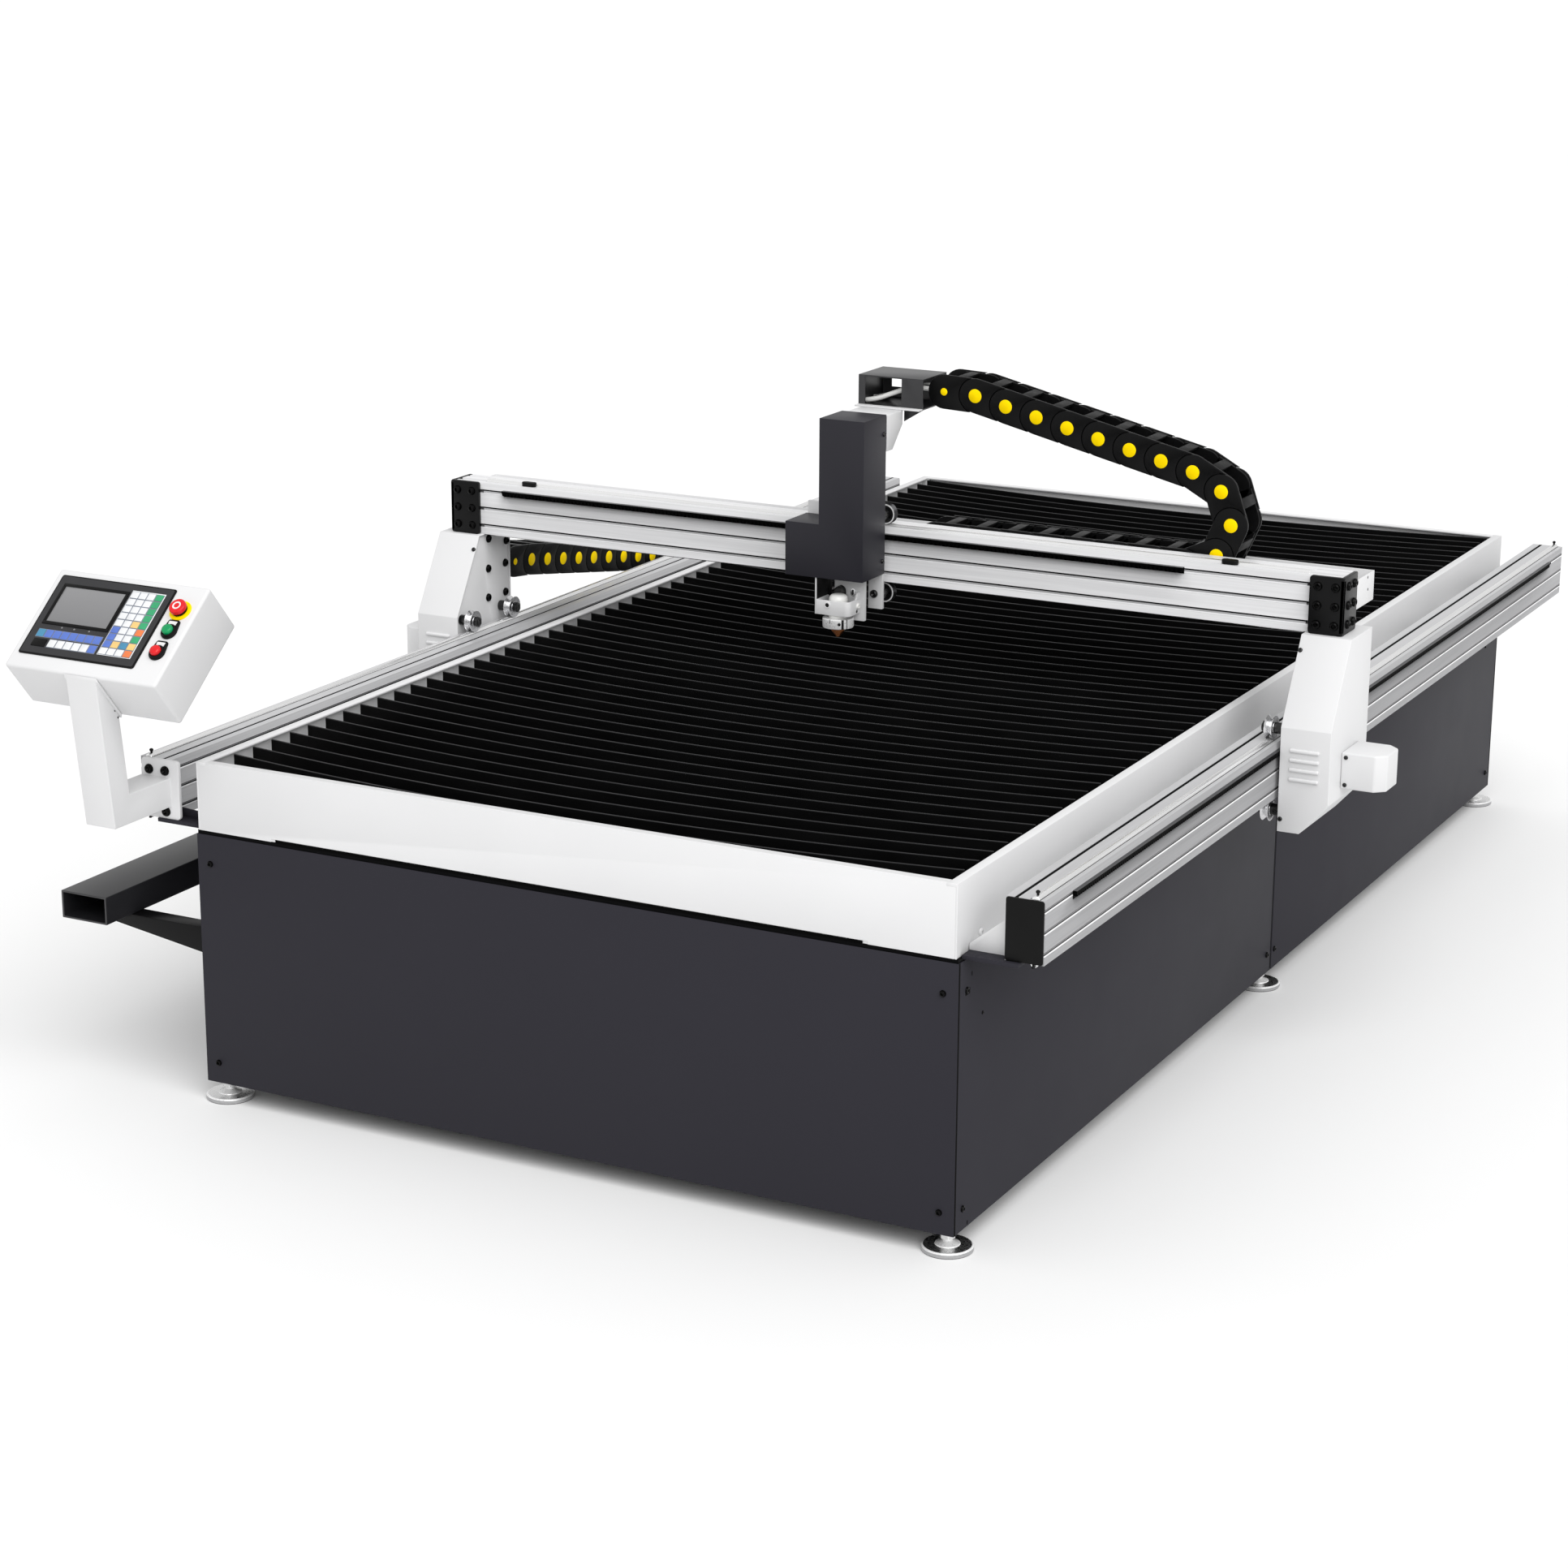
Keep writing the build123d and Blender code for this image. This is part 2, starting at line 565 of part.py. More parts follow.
m = MOTOR / 2
plate_out = PLATE_IN + PLATE_T
y_motor = block(plate_out, 1180, Y_MOTOR_Y - m, Y_MOTOR_Y + m, Y_MOTOR_Z - m, Y_MOTOR_Z + m)
y_motor -= bar_x(Y_MOTOR_Y, Y_MOTOR_Z, 8, plate_out - 1, plate_out + 40, sides=12)
save("y_motors", *both(y_motor))
gear = Plane.YZ.offset(rail_out + 1) * Pos(Y_MOTOR_Y, Y_MOTOR_Z) * pinion_section(Y_TEETH)
pinion = extrude(gear, 14, dir=(1, 0, 0))
pinion += bar_x(Y_MOTOR_Y, Y_MOTOR_Z, 7, rail_out + 15, plate_out + 38, sides=12)
save("y_pinions", *both(pinion))

# Gantry rollers on the rail rods; the left and right one of a pair turn about one line
roll_high = RAIL_TOP - ROD_SINK + ROLL_REACH
roll_low = RAIL_TOP - EXT_H + ROD_SINK - ROLL_REACH
roll_half = ROLL_RIM - (ROLL_REACH - (ROD_R + ROLL_GAP) * 2**0.5)
axles = []
for row, z in (("upper", roll_high), ("lower", roll_low)):
    for end, y in zip(("front", "rear"), LEG_ROLL_Y):
        roller = vee_roller(Plane(origin=(ROD_X, y, z), z_dir=(1, 0, 0)))
        save(f"{row}_{end}_rollers", *both(roller))
        axle = bar_x(y, z, 12, ROD_X + roll_half + 0.5, PLATE_IN, sides=6)
        axle += bar_x(y, z, ROLL_AXLE, ROD_X - roll_half - 0.5, ROD_X + roll_half + 0.5, sides=8)
        axle += bar_x(y, z, 12, ROD_X - roll_half - 12, ROD_X - roll_half - 0.5, sides=6)
        axles += both(axle)
save("roller_axles", *axles)

# Chain tray behind the beam
tray_y0 = BEAM_Y0 + EXT_W
tray_y1 = tray_y0 + 108
channel = block(-BRACKET_OUT, BRACKET_OUT, tray_y0, tray_y1, 945, 1007)
channel -= block(-BRACKET_OUT + 2, BRACKET_OUT - 2, tray_y0 + 2, tray_y1 - 2, 947, 1010)
save("x_chain_tray", channel)

# Carriage plate with its rollers, motor and drive pinion
car_outline = [(-113, 853), (-79, 853), (-79, 925), (14, 925), (14, 853), (47, 853), (47, 1275)]
car_outline += [(-55, 1275), (-55, 1075), (-134, 1075), (-134, 931), (-113, 931)]
carriage = plate_xz(car_outline, CAR_Y0, CAR_Y1)
carriage -= bar_y(X_MOTOR_X, X_MOTOR_Z, 12, CAR_Y0 - 1, CAR_Y1 + 1, sides=12)
save("carriage_plate", carriage)

car_axles = []
for row, z in (("upper", beam_top - ROD_SINK + ROLL_REACH), ("lower", BEAM_Z0 + ROD_SINK - ROLL_REACH)):
    for end, x in zip(("left", "right"), CAR_ROLL_X):
        save(f"carriage_{row}_{end}_roller", vee_roller(Plane(origin=(x, rod_y, z), z_dir=(0, 1, 0))))
        axle = bar_y(x, z, 12, CAR_Y1, rod_y - roll_half - 0.5, sides=6)
        axle += bar_y(x, z, ROLL_AXLE, rod_y - roll_half - 0.5, rod_y + roll_half + 0.5, sides=8)
        axle += bar_y(x, z, 12, rod_y + roll_half + 0.5, rod_y + roll_half + 10, sides=6)
        car_axles.append(axle)
save("carriage_axles", *car_axles)

x_motor = block(X_MOTOR_X - m, X_MOTOR_X + m, 1195, CAR_Y0, X_MOTOR_Z - m, X_MOTOR_Z + m)
x_motor -= bar_y(X_MOTOR_X, X_MOTOR_Z, 8, 1243, CAR_Y0 + 1, sides=12)
save("x_motor", x_motor)
gear = Plane.XZ.offset(-1303) * Pos(X_MOTOR_X, X_MOTOR_Z) * pinion_section(X_TEETH)
x_pinion = extrude(gear, 16, dir=(0, 1, 0))
x_pinion += bar_y(X_MOTOR_X, X_MOTOR_Z, 7, 1245, 1303, sides=12)
save("x_pinion", x_pinion)

# Cover over the motor and the torch lifter
hood_out = [(-137, 931), (49, 931), (49, 1277), (-57, 1277), (-57, 1048), (-137, 1048)]
hood_hole = [(-135, 900), (47, 900), (47, 1275), (-55, 1275), (-55, 1046), (-135, 1046)]
head = plate_xz(hood_out, 1183, 1290) - plate_xz(hood_hole, 1185, 1300)
head -= block(-140, -50, CAR_Y0 - 0.5, 1300, 900, 1100)
save("head_cover", head)

# Torch lifter: end blocks, guide rods, motor and lead screw inside the cover
LIFT_Y = 1264.0
LIFT_ROD_X = (-40.0, 32.0)
SCREW_X = -4.0
lifter = block(-52, 44, 1250, CAR_Y0, 935, 950) + block(-52, 44, 1250, CAR_Y0, 1200, 1216)
lifter += block(SCREW_X - m + 8, SCREW_X + m - 8, 1243, CAR_Y0, 1216, 1268)
for x in LIFT_ROD_X:
    lifter += bar_z(x, LIFT_Y, 7, 950, 1200, sides=12)
lifter -= bar_z(SCREW_X, LIFT_Y, 7.4, 930, 1240, sides=12)
save("lifter_frame", lifter)
save("lifter_screw", bar_z(SCREW_X, LIFT_Y, 7, 936, 1238, sides=12))

# Torch with its slide plate, clamp, ring, nozzle and lead
SLIDE_Y = 1240.0
RING_R = 34.0
LEAD_X = -30.0
LEAD_Z = 895.0
slide = block(-52, 44, 1250, 1278, 1060, 1110) + block(-46, 26, SLIDE_Y, 1250, 833, 1110)
slide -= bar_z(TORCH_X, TORCH_Y, RING_R + 1, 820, 845, sides=24)
slide -= bar_y(LEAD_X, LEAD_Z, 12, SLIDE_Y - 1, 1251, sides=16)
slide -= block(LEAD_X - 12, LEAD_X + 12, SLIDE_Y - 1, 1251, 872, LEAD_Z)
slide += block(LEAD_X - 15, LEAD_X + 15, 1250, 1274, 869, LEAD_Z + 15)
for x in LIFT_ROD_X:
    slide -= bar_z(x, LIFT_Y, 7.4, 1050, 1120, sides=12)
slide -= bar_z(SCREW_X, LIFT_Y, 7.7, 1050, 1120, sides=12)
save("torch_slide", slide)

CLAMP_X = (-63.0, 16.0)
CLAMP_Y = 1186.0
CLAMP_Z = (851.0, 883.0)
CLAMP_T = 4.0
CLAMP_CORNER = 12.0


def clamp_outline(inset, y_back):
    """A strap round the torch: flat in front, round at its right corner, open to the back."""
    r = CLAMP_CORNER - inset
    middle = (CLAMP_X[1] - CLAMP_CORNER, CLAMP_Y + CLAMP_CORNER)
    turns = [pi * i / 8 - pi / 2 for i in range(5)]
    corner = [(middle[0] + r * cos(turn), middle[1] + r * sin(turn)) for turn in turns]
    left = CLAMP_X[0] + inset
    return [(left, y_back), (left, CLAMP_Y + inset), *corner, (CLAMP_X[1] - inset, y_back)]


clamp = plate_xy(clamp_outline(0, SLIDE_Y), *CLAMP_Z)
clamp -= plate_xy(clamp_outline(CLAMP_T, SLIDE_Y + 1), CLAMP_Z[0] + CLAMP_T, CLAMP_Z[1] + 1)
clamp -= bar_z(TORCH_X, TORCH_Y, 20.8, CLAMP_Z[0] - 1, CLAMP_Z[1], sides=24)
clamp += block(CLAMP_X[1] - CLAMP_T, CLAMP_X[1], 1222, SLIDE_Y, CLAMP_Z[1], CLAMP_Z[1] + 14)
clamp += block(CLAMP_X[0] - 3, CLAMP_X[0], CLAMP_Y, SLIDE_Y, CLAMP_Z[0], 1025)
save("torch_clamp", clamp)
torch = bar_z(TORCH_X, TORCH_Y, 20.5, 843, 886, sides=24) + taper_z(TORCH_X, TORCH_Y, 20.5, 15, 886, 894, 24)
save("torch_body", torch)
save("torch_ring", bar_z(TORCH_X, TORCH_Y, RING_R, 822, 843, sides=24))
nozzle = bar_z(TORCH_X, TORCH_Y, 16, 812, 822, sides=24) + taper_z(TORCH_X, TORCH_Y, 4.5, 16, 799, 812, 24)
save("torch_nozzle", nozzle)
save("torch_lead", bar_y(LEAD_X, LEAD_Z, 11, TORCH_Y + 14, 1250, sides=12) - torch)

# Arm and box that take the link chain to the carriage
arm_side = [(CAR_Y1, 1197), (1320, 1197), (1368, 1245), (1368, 1275), (CAR_Y1, 1275)]
arm_hollow = [(CAR_Y1, 1200), (1319, 1200), (1365, 1246), (1365, 1272), (CAR_Y1, 1272)]
save("chain_arm", plate_yz(arm_side, -50, 50) - plate_yz(arm_hollow, -47, 47))
box = block(-63, 91, 1362, 1500, 1275, 1278) + block(-63, 91, 1380, 1500, 1339, 1342)
box += block(-63, -60, 1380, 1500, 1275, 1342) + block(-63, 91, 1497, 1500, 1275, 1342)
box -= block(-40, 20, 1490, 1510, 1300, 1330)
box += block(-63, -47, 1380, 1383, 1275, 1342) + block(40, 91, 1380, 1383, 1275, 1342)
box += plate_xz([(47, 1275), (91, 1275), (47, 1248)], 1380, 1383)
save("chain_bracket", box)

# Link chains: one along the beam, one along the table
X_CHAIN_Y = (1407.0, 1407.0 + LINK_W)
x_path = chain_path((128, 1315), 60, 13.3, 0, 989, 84, X_BEND_R)
x_pivots = walk(x_path, LINK_PITCH, 40)
cables = [bar_x(1440, 1285, 6, -59.5, 190, sides=8), bar_x(1460, 1285, 6, -59.5, 190, sides=8)]
save("x_chain", *chain_links(x_pivots, X_CHAIN_Y, plate_xz), *cables)
Y_CHAIN_X = (-1113.0, -1113.0 + LINK_W)
y_path = chain_path((1507, 801), 24, 9.95, 153, 460.5, 1400, Y_BEND_R)
y_pivots = walk(y_path, LINK_PITCH, 40)
lug_in = (Y_CHAIN_X[0] + LINK_T + 0.4, Y_CHAIN_X[1] - LINK_T - 0.4)
y_lug = block(*lug_in, LEG_BACK, LEG_BACK + 8, 775, 831)
for x in (lug_in[0], lug_in[1] - 6):
    y_lug += block(x, x + 6, LEG_BACK, 1518, 783, 819)
save("y_chain", *chain_links(y_pivots, Y_CHAIN_X, plate_yz), y_lug)
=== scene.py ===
"""Looks of a plasma cutting table: finishes, rounded sheet, fasteners, slats, rollers and link chains."""

import logging
from collections.abc import Iterable, Sequence
from dataclasses import dataclass, field
from enum import Enum
from math import atan2, cos, hypot, pi, radians, sin, tan

import bmesh
import bpy
from mathutils import Matrix, Vector


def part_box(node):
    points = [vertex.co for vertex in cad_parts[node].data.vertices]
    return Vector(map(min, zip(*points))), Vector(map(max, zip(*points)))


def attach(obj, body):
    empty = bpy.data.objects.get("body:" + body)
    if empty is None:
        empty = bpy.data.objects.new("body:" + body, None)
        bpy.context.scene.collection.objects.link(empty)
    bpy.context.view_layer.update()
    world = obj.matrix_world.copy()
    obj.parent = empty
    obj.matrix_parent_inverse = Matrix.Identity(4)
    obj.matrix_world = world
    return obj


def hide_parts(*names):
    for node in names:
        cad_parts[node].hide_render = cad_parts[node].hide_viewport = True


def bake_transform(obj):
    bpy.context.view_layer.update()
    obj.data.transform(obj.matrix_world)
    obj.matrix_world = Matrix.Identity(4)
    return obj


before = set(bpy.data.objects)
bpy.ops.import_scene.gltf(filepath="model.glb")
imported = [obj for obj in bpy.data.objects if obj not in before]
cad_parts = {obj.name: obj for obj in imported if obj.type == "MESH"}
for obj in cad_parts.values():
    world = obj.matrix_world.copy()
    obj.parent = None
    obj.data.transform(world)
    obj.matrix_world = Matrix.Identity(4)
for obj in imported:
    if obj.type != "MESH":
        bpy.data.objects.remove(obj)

LOG = logging.getLogger("plasma_table")
MM = 0.001
TABLE_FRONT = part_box("tray_frame")[0].y
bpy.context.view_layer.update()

SHARP_EDGE, SMOOTH_EDGE, FLAT_EDGE = radians(25), radians(32), radians(0.5)
MERGE, NODE_MERGE = 1e-4, 1e-3
NOISE_LOW, NOISE_HIGH = 0.3, 0.7
FRONT, LEFT, DOWN = Vector((0, -1, 0)), Vector((-1, 0, 0)), Vector((0, 0, -1))
RACK_MODULE, RACK_TOOTH = 3.0, 6.75

Colour = tuple[float, float, float]
Point = tuple[float, float, float]
Flat = tuple[float, float]
Area = tuple[float, float, float, float]
Row = tuple[float, ...]
Flats = tuple[Flat, ...]
Mesh = bmesh.types.BMesh
Paint = bpy.types.Material
Socket = bpy.types.NodeSocket


class Axis(Enum):
    """Direction of a bar, a prism or the drawing lines of a metal."""

    X = (1.0, 0.0, 0.0)
    Y = (0.0, 1.0, 0.0)
    Z = (0.0, 0.0, 1.0)


class FinishGraph:
    """Shader of one finish, wired step by step on Object coordinates."""

    def __init__(self, name: str, colour: Colour, rough: float, metal: float = 0.0) -> None:
        """Start with an even surface.

        Args:
            name: Name of the material.
            colour: Linear base colour.
            rough: Roughness from 0 to 1.
            metal: 1 for bare metal.
        """
        self.material = bpy.data.materials.new(name)
        self.material.use_nodes = True
        self.material.diffuse_color = (*colour, 1.0)
        self.nodes = self.material.node_tree.nodes
        self.links = self.material.node_tree.links
        self.surface = self.nodes["Principled BSDF"]
        self.set("Base Color", (*colour, 1.0))
        self.set("Roughness", rough)
        self.set("Metallic", metal)
        self.coords = self.nodes.new("ShaderNodeTexCoord").outputs["Object"]

    def set(self, socket: str, value: object) -> None:
        """Set one even value on the surface shader."""
        self.surface.inputs[socket].default_value = value

    def noise(self, scale: float, detail: float = 3.0, stretch: Point = (1.0, 1.0, 1.0)) -> Socket:
        """Add a noise pattern.

        Args:
            scale: Cells per metre.
            detail: Octaves.
            stretch: Scale of each axis; a small number draws the pattern out.

        Returns:
            The pattern's value, about 0.5 on average.
        """
        mapping = self.nodes.new("ShaderNodeMapping")
        mapping.inputs["Scale"].default_value = stretch
        self.links.new(self.coords, mapping.inputs["Vector"])
        noise = self.nodes.new("ShaderNodeTexNoise")
        noise.inputs["Scale"].default_value = scale
        noise.inputs["Detail"].default_value = detail
        self.links.new(mapping.outputs["Vector"], noise.inputs["Vector"])
        return noise.outputs["Fac"]

    def span(self, value: Socket, low: float, high: float) -> Socket:
        """Stretch a pattern's middle part over a range.

        Args:
            value: Pattern from noise or height.
            low: Result where the pattern is dark.
            high: Result where the pattern is bright.

        Returns:
            The stretched value.
        """
        ramp = self.nodes.new("ShaderNodeMapRange")
        ramp.inputs["From Min"].default_value = NOISE_LOW
        ramp.inputs["From Max"].default_value = NOISE_HIGH
        ramp.inputs["To Min"].default_value = low
        ramp.inputs["To Max"].default_value = high
        self.links.new(value, ramp.inputs["Value"])
        return ramp.outputs["Result"]

    def tint(self, value: Socket, dark: Colour, light: Colour) -> None:
        """Colour the surface between two shades by a value."""
        mix = self.nodes.new("ShaderNodeMix")
        mix.data_type = "RGBA"
        mix.inputs["A"].default_value = (*dark, 1.0)
        mix.inputs["B"].default_value = (*light, 1.0)
        self.links.new(value, mix.inputs["Factor"])
        self.links.new(mix.outputs["Result"], self.surface.inputs["Base Color"])

    def cloud(self, value: Socket, colour: Colour, dark: float, light: float) -> None:
        """Vary a colour by a pattern, between a darker and a lighter shade of it."""
        self.tint(self.span(value, 0.0, 1.0), shade(colour, dark), shade(colour, light))

    def roughen(self, value: Socket, low: float, high: float) -> None:
        """Vary the roughness by a pattern."""
        self.links.new(self.span(value, low, high), self.surface.inputs["Roughness"])

    def bump(self, value: Socket, depth: float) -> None:
        """Raise the surface by a pattern, depth in metres."""
        bump = self.nodes.new("ShaderNodeBump")
        bump.inputs["Distance"].default_value = depth
        self.links.new(value, bump.inputs["Height"])
        self.links.new(bump.outputs["Normal"], self.surface.inputs["Normal"])

    def height(self, level: float, fade: float) -> Socket:
        """Add a mask by height above the floor.

        Args:
            level: Height in metres where the mask is half.
            fade: Height over which it changes.

        Returns:
            The mask, 0 below and 1 above.
        """
        split = self.nodes.new("ShaderNodeSeparateXYZ")
        self.links.new(self.coords, split.inputs["Vector"])
        ramp = self.nodes.new("ShaderNodeMapRange")
        ramp.inputs["From Min"].default_value = level - fade / 2
        ramp.inputs["From Max"].default_value = level + fade / 2
        self.links.new(split.outputs["Z"], ramp.inputs["Value"])
        return ramp.outputs["Result"]


def shade(colour: Colour, factor: float) -> Colour:
    """A colour made darker or lighter by a factor."""
    return tuple(min(1.0, part * factor) for part in colour)


@dataclass(frozen=True)
class PowderCoat:
    """Baked powder paint: nearly even colour, soft gloss and a fine orange-peel texture."""

    name: str
    colour: Colour
    rough: float = 0.4
    gloss: float = 0.5
    peel: float = 0.00006
    cloud: float = 0.02

    def build(self) -> Paint:
        """Make the material."""
        graph = FinishGraph(self.name, self.colour, self.rough)
        graph.set("Specular IOR Level", self.gloss)
        graph.cloud(graph.noise(2.5), self.colour, 1 - self.cloud, 1 + self.cloud)
        graph.roughen(graph.noise(9.0), self.rough - 0.012, self.rough + 0.012)
        graph.bump(graph.noise(650.0, 2.0), self.peel)
        return graph.material


@dataclass(frozen=True)
class DrawnMetal:
    """Extruded, ground or turned metal with fine lines along one direction."""

    name: str
    colour: Colour
    rough: float
    lines: Axis | None = None
    metal: float = 1.0
    gloss: float = 0.5

    def build(self) -> Paint:
        """Make the material."""
        graph = FinishGraph(self.name, self.colour, self.rough, self.metal)
        graph.set("Specular IOR Level", self.gloss)
        along = self.lines.value if self.lines else (0, 0, 0)
        stretch = tuple(0.012 if part else 1.0 for part in along)
        streak = graph.noise(260.0, 4.0, stretch)
        graph.cloud(streak, self.colour, 0.93, 1.05)
        graph.roughen(streak, self.rough - 0.05, self.rough + 0.07)
        graph.bump(streak, 0.00004)
        return graph.material


@dataclass(frozen=True)
class Moulding:
    """Moulded plastic or rubber with a fine grain."""

    name: str
    colour: Colour
    rough: float = 0.5
    grain: float = 0.00005
    coat: float = 0.0
    gloss: float = 0.5

    def build(self) -> Paint:
        """Make the material."""
        graph = FinishGraph(self.name, self.colour, self.rough)
        graph.set("Specular IOR Level", self.gloss)
        graph.set("Coat Weight", self.coat)
        graph.set("Coat Roughness", 0.08)
        graph.cloud(graph.noise(40.0), self.colour, 0.92, 1.06)
        graph.roughen(graph.noise(120.0), self.rough - 0.05, self.rough + 0.06)
        graph.bump(graph.noise(1400.0, 2.0), self.grain)
        return graph.material


@dataclass(frozen=True)
class MillScale:
    """Dark rolled steel strip, lighter along its top edge."""

    name: str
    colour: Colour
    edge: Colour
    edge_level: float

    def build(self) -> Paint:
        """Make the material."""
        graph = FinishGraph(self.name, self.colour, 0.5)
        graph.set("Specular IOR Level", 0.1)
        graph.tint(graph.height(self.edge_level, 0.0006), self.colour, self.edge)
        graph.roughen(graph.noise(30.0, 4.0, (0.25, 1.0, 1.0)), 0.42, 0.62)
        graph.bump(graph.noise(500.0, 3.0), 0.00006)
        return graph.material


@dataclass(frozen=True)
class ScreenGlass:
    """Unlit display behind a glossy pane, with a painted reflection that makes it a little lighter towards
    its upper edge.
    """

    name: str
    low_colour: Colour
    high_colour: Colour
    middle: float

    def build(self) -> Paint:
        """Make the material."""
        graph = FinishGraph(self.name, self.low_colour, 0.25)
        graph.set("Coat Weight", 0.6)
        graph.set("Coat Roughness", 0.05)
        # Painted reflection: lighter towards the upper edge.
        graph.tint(graph.height(self.middle, 0.09), self.low_colour, self.high_colour)
        graph.bump(graph.noise(900.0, 1.0), 0.00001)
        return graph.material


class Finishes:
    """Every finish of the machine, made once."""

    def __init__(self) -> None:
        """Make the materials."""
        self.white = PowderCoat("white_coat", (0.65, 0.65, 0.655), 0.45, 0.35).build()
        self.anthracite = PowderCoat("anthracite_coat", (0.0235, 0.0226, 0.029), 0.55, 0.1).build()
        self.hood = PowderCoat("hood_coat", (0.0215, 0.0207, 0.0265), 0.45, 0.22).build()
        self.black = PowderCoat("black_coat", (0.003, 0.003, 0.0032), 0.35, 0.16).build()
        self.satin = PowderCoat("satin_black", (0.012, 0.012, 0.0138), 0.32, 0.7).build()
        self.rack = PowderCoat("rack_black", (0.0008, 0.0008, 0.0008), 0.6, 0.03).build()
        # Near-black frame finish, darkened so that it paints the shade in the gap under the tray.
        self.primer_and_gap_shade = PowderCoat("near_black_primer_gap_shade", (0.0015, 0.0015, 0.0018), 0.6, 0.05).build()
        self.slat = MillScale("slat_steel", (0.0012, 0.0012, 0.0013), (0.021, 0.021, 0.022), 0.7083).build()
        self.rail = DrawnMetal("rail_aluminium", (0.53, 0.53, 0.54), 0.36, Axis.Y, 0.3).build()
        self.beam = DrawnMetal("beam_aluminium", (0.78, 0.78, 0.79), 0.36, Axis.X, 0.2).build()
        # Darker copies of the aluminium: painted shade on the slot floors.
        self.rail_slot_shade = DrawnMetal("rail_slot_shade", (0.2, 0.2, 0.205), 0.45, Axis.Y, 0.3).build()
        self.beam_slot_shade = DrawnMetal("beam_slot_shade", (0.42, 0.42, 0.43), 0.45, Axis.X, 0.2).build()
        # Lighter finish of the slanted slot lips, partly a painted highlight.
        self.lip = Moulding("slot_lip_highlight", (0.78, 0.78, 0.79), 0.35).build()
        # Near-black that paints the shade inside slots and the contact shade beside the rods.
        self.painted_groove_shade = Moulding("groove_shade", (0.004, 0.004, 0.004), 0.7, gloss=0.03).build()
        self.rod_y = DrawnMetal("ground_rod_lengthwise", (0.84, 0.84, 0.84), 0.22, Axis.Y, 0.85).build()
        self.rod_x = DrawnMetal("ground_rod_crosswise", (0.84, 0.84, 0.84), 0.22, Axis.X, 0.7).build()
        self.chrome = DrawnMetal("polished_foot", (0.8, 0.8, 0.8), 0.28).build()
        # Darker steel for the feet's disc sides: painted shade on the chromed disc.
        self.turned = DrawnMetal("foot_side_shaded_steel", (0.36, 0.36, 0.365), 0.35, None, 0.3).build()
        self.steel = DrawnMetal("machined_steel", (0.68, 0.68, 0.69), 0.24).build()
        self.blued = DrawnMetal("blued_steel", (0.05, 0.05, 0.052), 0.3).build()
        self.bolt = DrawnMetal("bolt_black", (0.0008, 0.0008, 0.0008), 0.16, None, 0.0, 0.1).build()
        self.oxide = DrawnMetal("black_oxide", (0.004, 0.004, 0.0042), 0.28, None, 0.0, 0.5).build()
        self.nickel = DrawnMetal("bright_nickel", (0.8, 0.8, 0.8), 0.3, None, 0.3).build()
        self.copper = DrawnMetal("nozzle_copper", (0.55, 0.2, 0.07), 0.3).build()
        self.nylon = Moulding("chain_nylon", (0.003, 0.003, 0.0032), 0.45, gloss=0.14).build()
        self.rubber = Moulding("stop_rubber", (0.01, 0.01, 0.01), 0.7).build()
        self.cap = Moulding("black_cap", (0.003, 0.003, 0.003), 0.45, gloss=0.14).build()
        self.bezel = Moulding("bezel_film", (0.019, 0.019, 0.021), 0.38, gloss=0.4).build()
        # The display's lighter upper part is a painted reflection.
        self.screen = ScreenGlass("display_pane", (0.138, 0.138, 0.142), (0.205, 0.205, 0.21), 1.01).build()
        self.yellow = Moulding("signal_yellow", (0.95, 0.67, 0.0), 0.45, gloss=0.05).build()
        self.red = Moulding("signal_red", (0.62, 0.006, 0.01), 0.3, coat=0.15, gloss=0.3).build()
        self.green = Moulding("signal_green", (0.0, 0.27, 0.085), 0.3, coat=0.15, gloss=0.3).build()
        self.lens = Moulding("white_lens", (0.7, 0.7, 0.7), 0.25, coat=0.4).build()
        self.torch = Moulding("torch_white", (0.76, 0.76, 0.74), 0.35).build()
        self.hose = Moulding("hose_rubber", (0.012, 0.012, 0.012), 0.55).build()
        self.key_white = Moulding("key_white", (0.68, 0.69, 0.7), 0.4).build()
        self.key_blue = Moulding("key_blue", (0.08, 0.15, 0.48), 0.4).build()
        self.key_green = Moulding("key_green", (0.026, 0.31, 0.13), 0.4).build()
        self.key_orange = Moulding("key_orange", (0.7, 0.175, 0.05), 0.4).build()
        self.key_amber = Moulding("key_amber", (0.7, 0.48, 0.17), 0.4).build()
        self.key_teal = Moulding("key_teal", (0.05, 0.215, 0.36), 0.4).build()
        self.key_back = Moulding("key_backing", (0.17, 0.19, 0.235), 0.4).build()


def soften(bm: Mesh, width: float, steps: int) -> None:
    """Round every sharp edge of a part.

    Args:
        bm: Mesh to change.
        width: Width of the rounding.
        steps: Faces across the rounding.
    """
    sharp = [e for e in bm.edges if e.is_manifold and e.calc_face_angle(0.0) > SHARP_EDGE]
    bmesh.ops.bevel(bm, geom=sharp, offset=width, offset_type="OFFSET", segments=steps, profile=0.5,
                    affect="EDGES", clamp_overlap=True, material=-1)


def toward(axis: Axis | Vector) -> Matrix:
    """A turn that takes the Z axis to a direction."""
    direction = Vector(axis.value) if isinstance(axis, Axis) else Vector(axis)
    return Vector((0, 0, 1)).rotation_difference(direction).to_matrix().to_4x4()


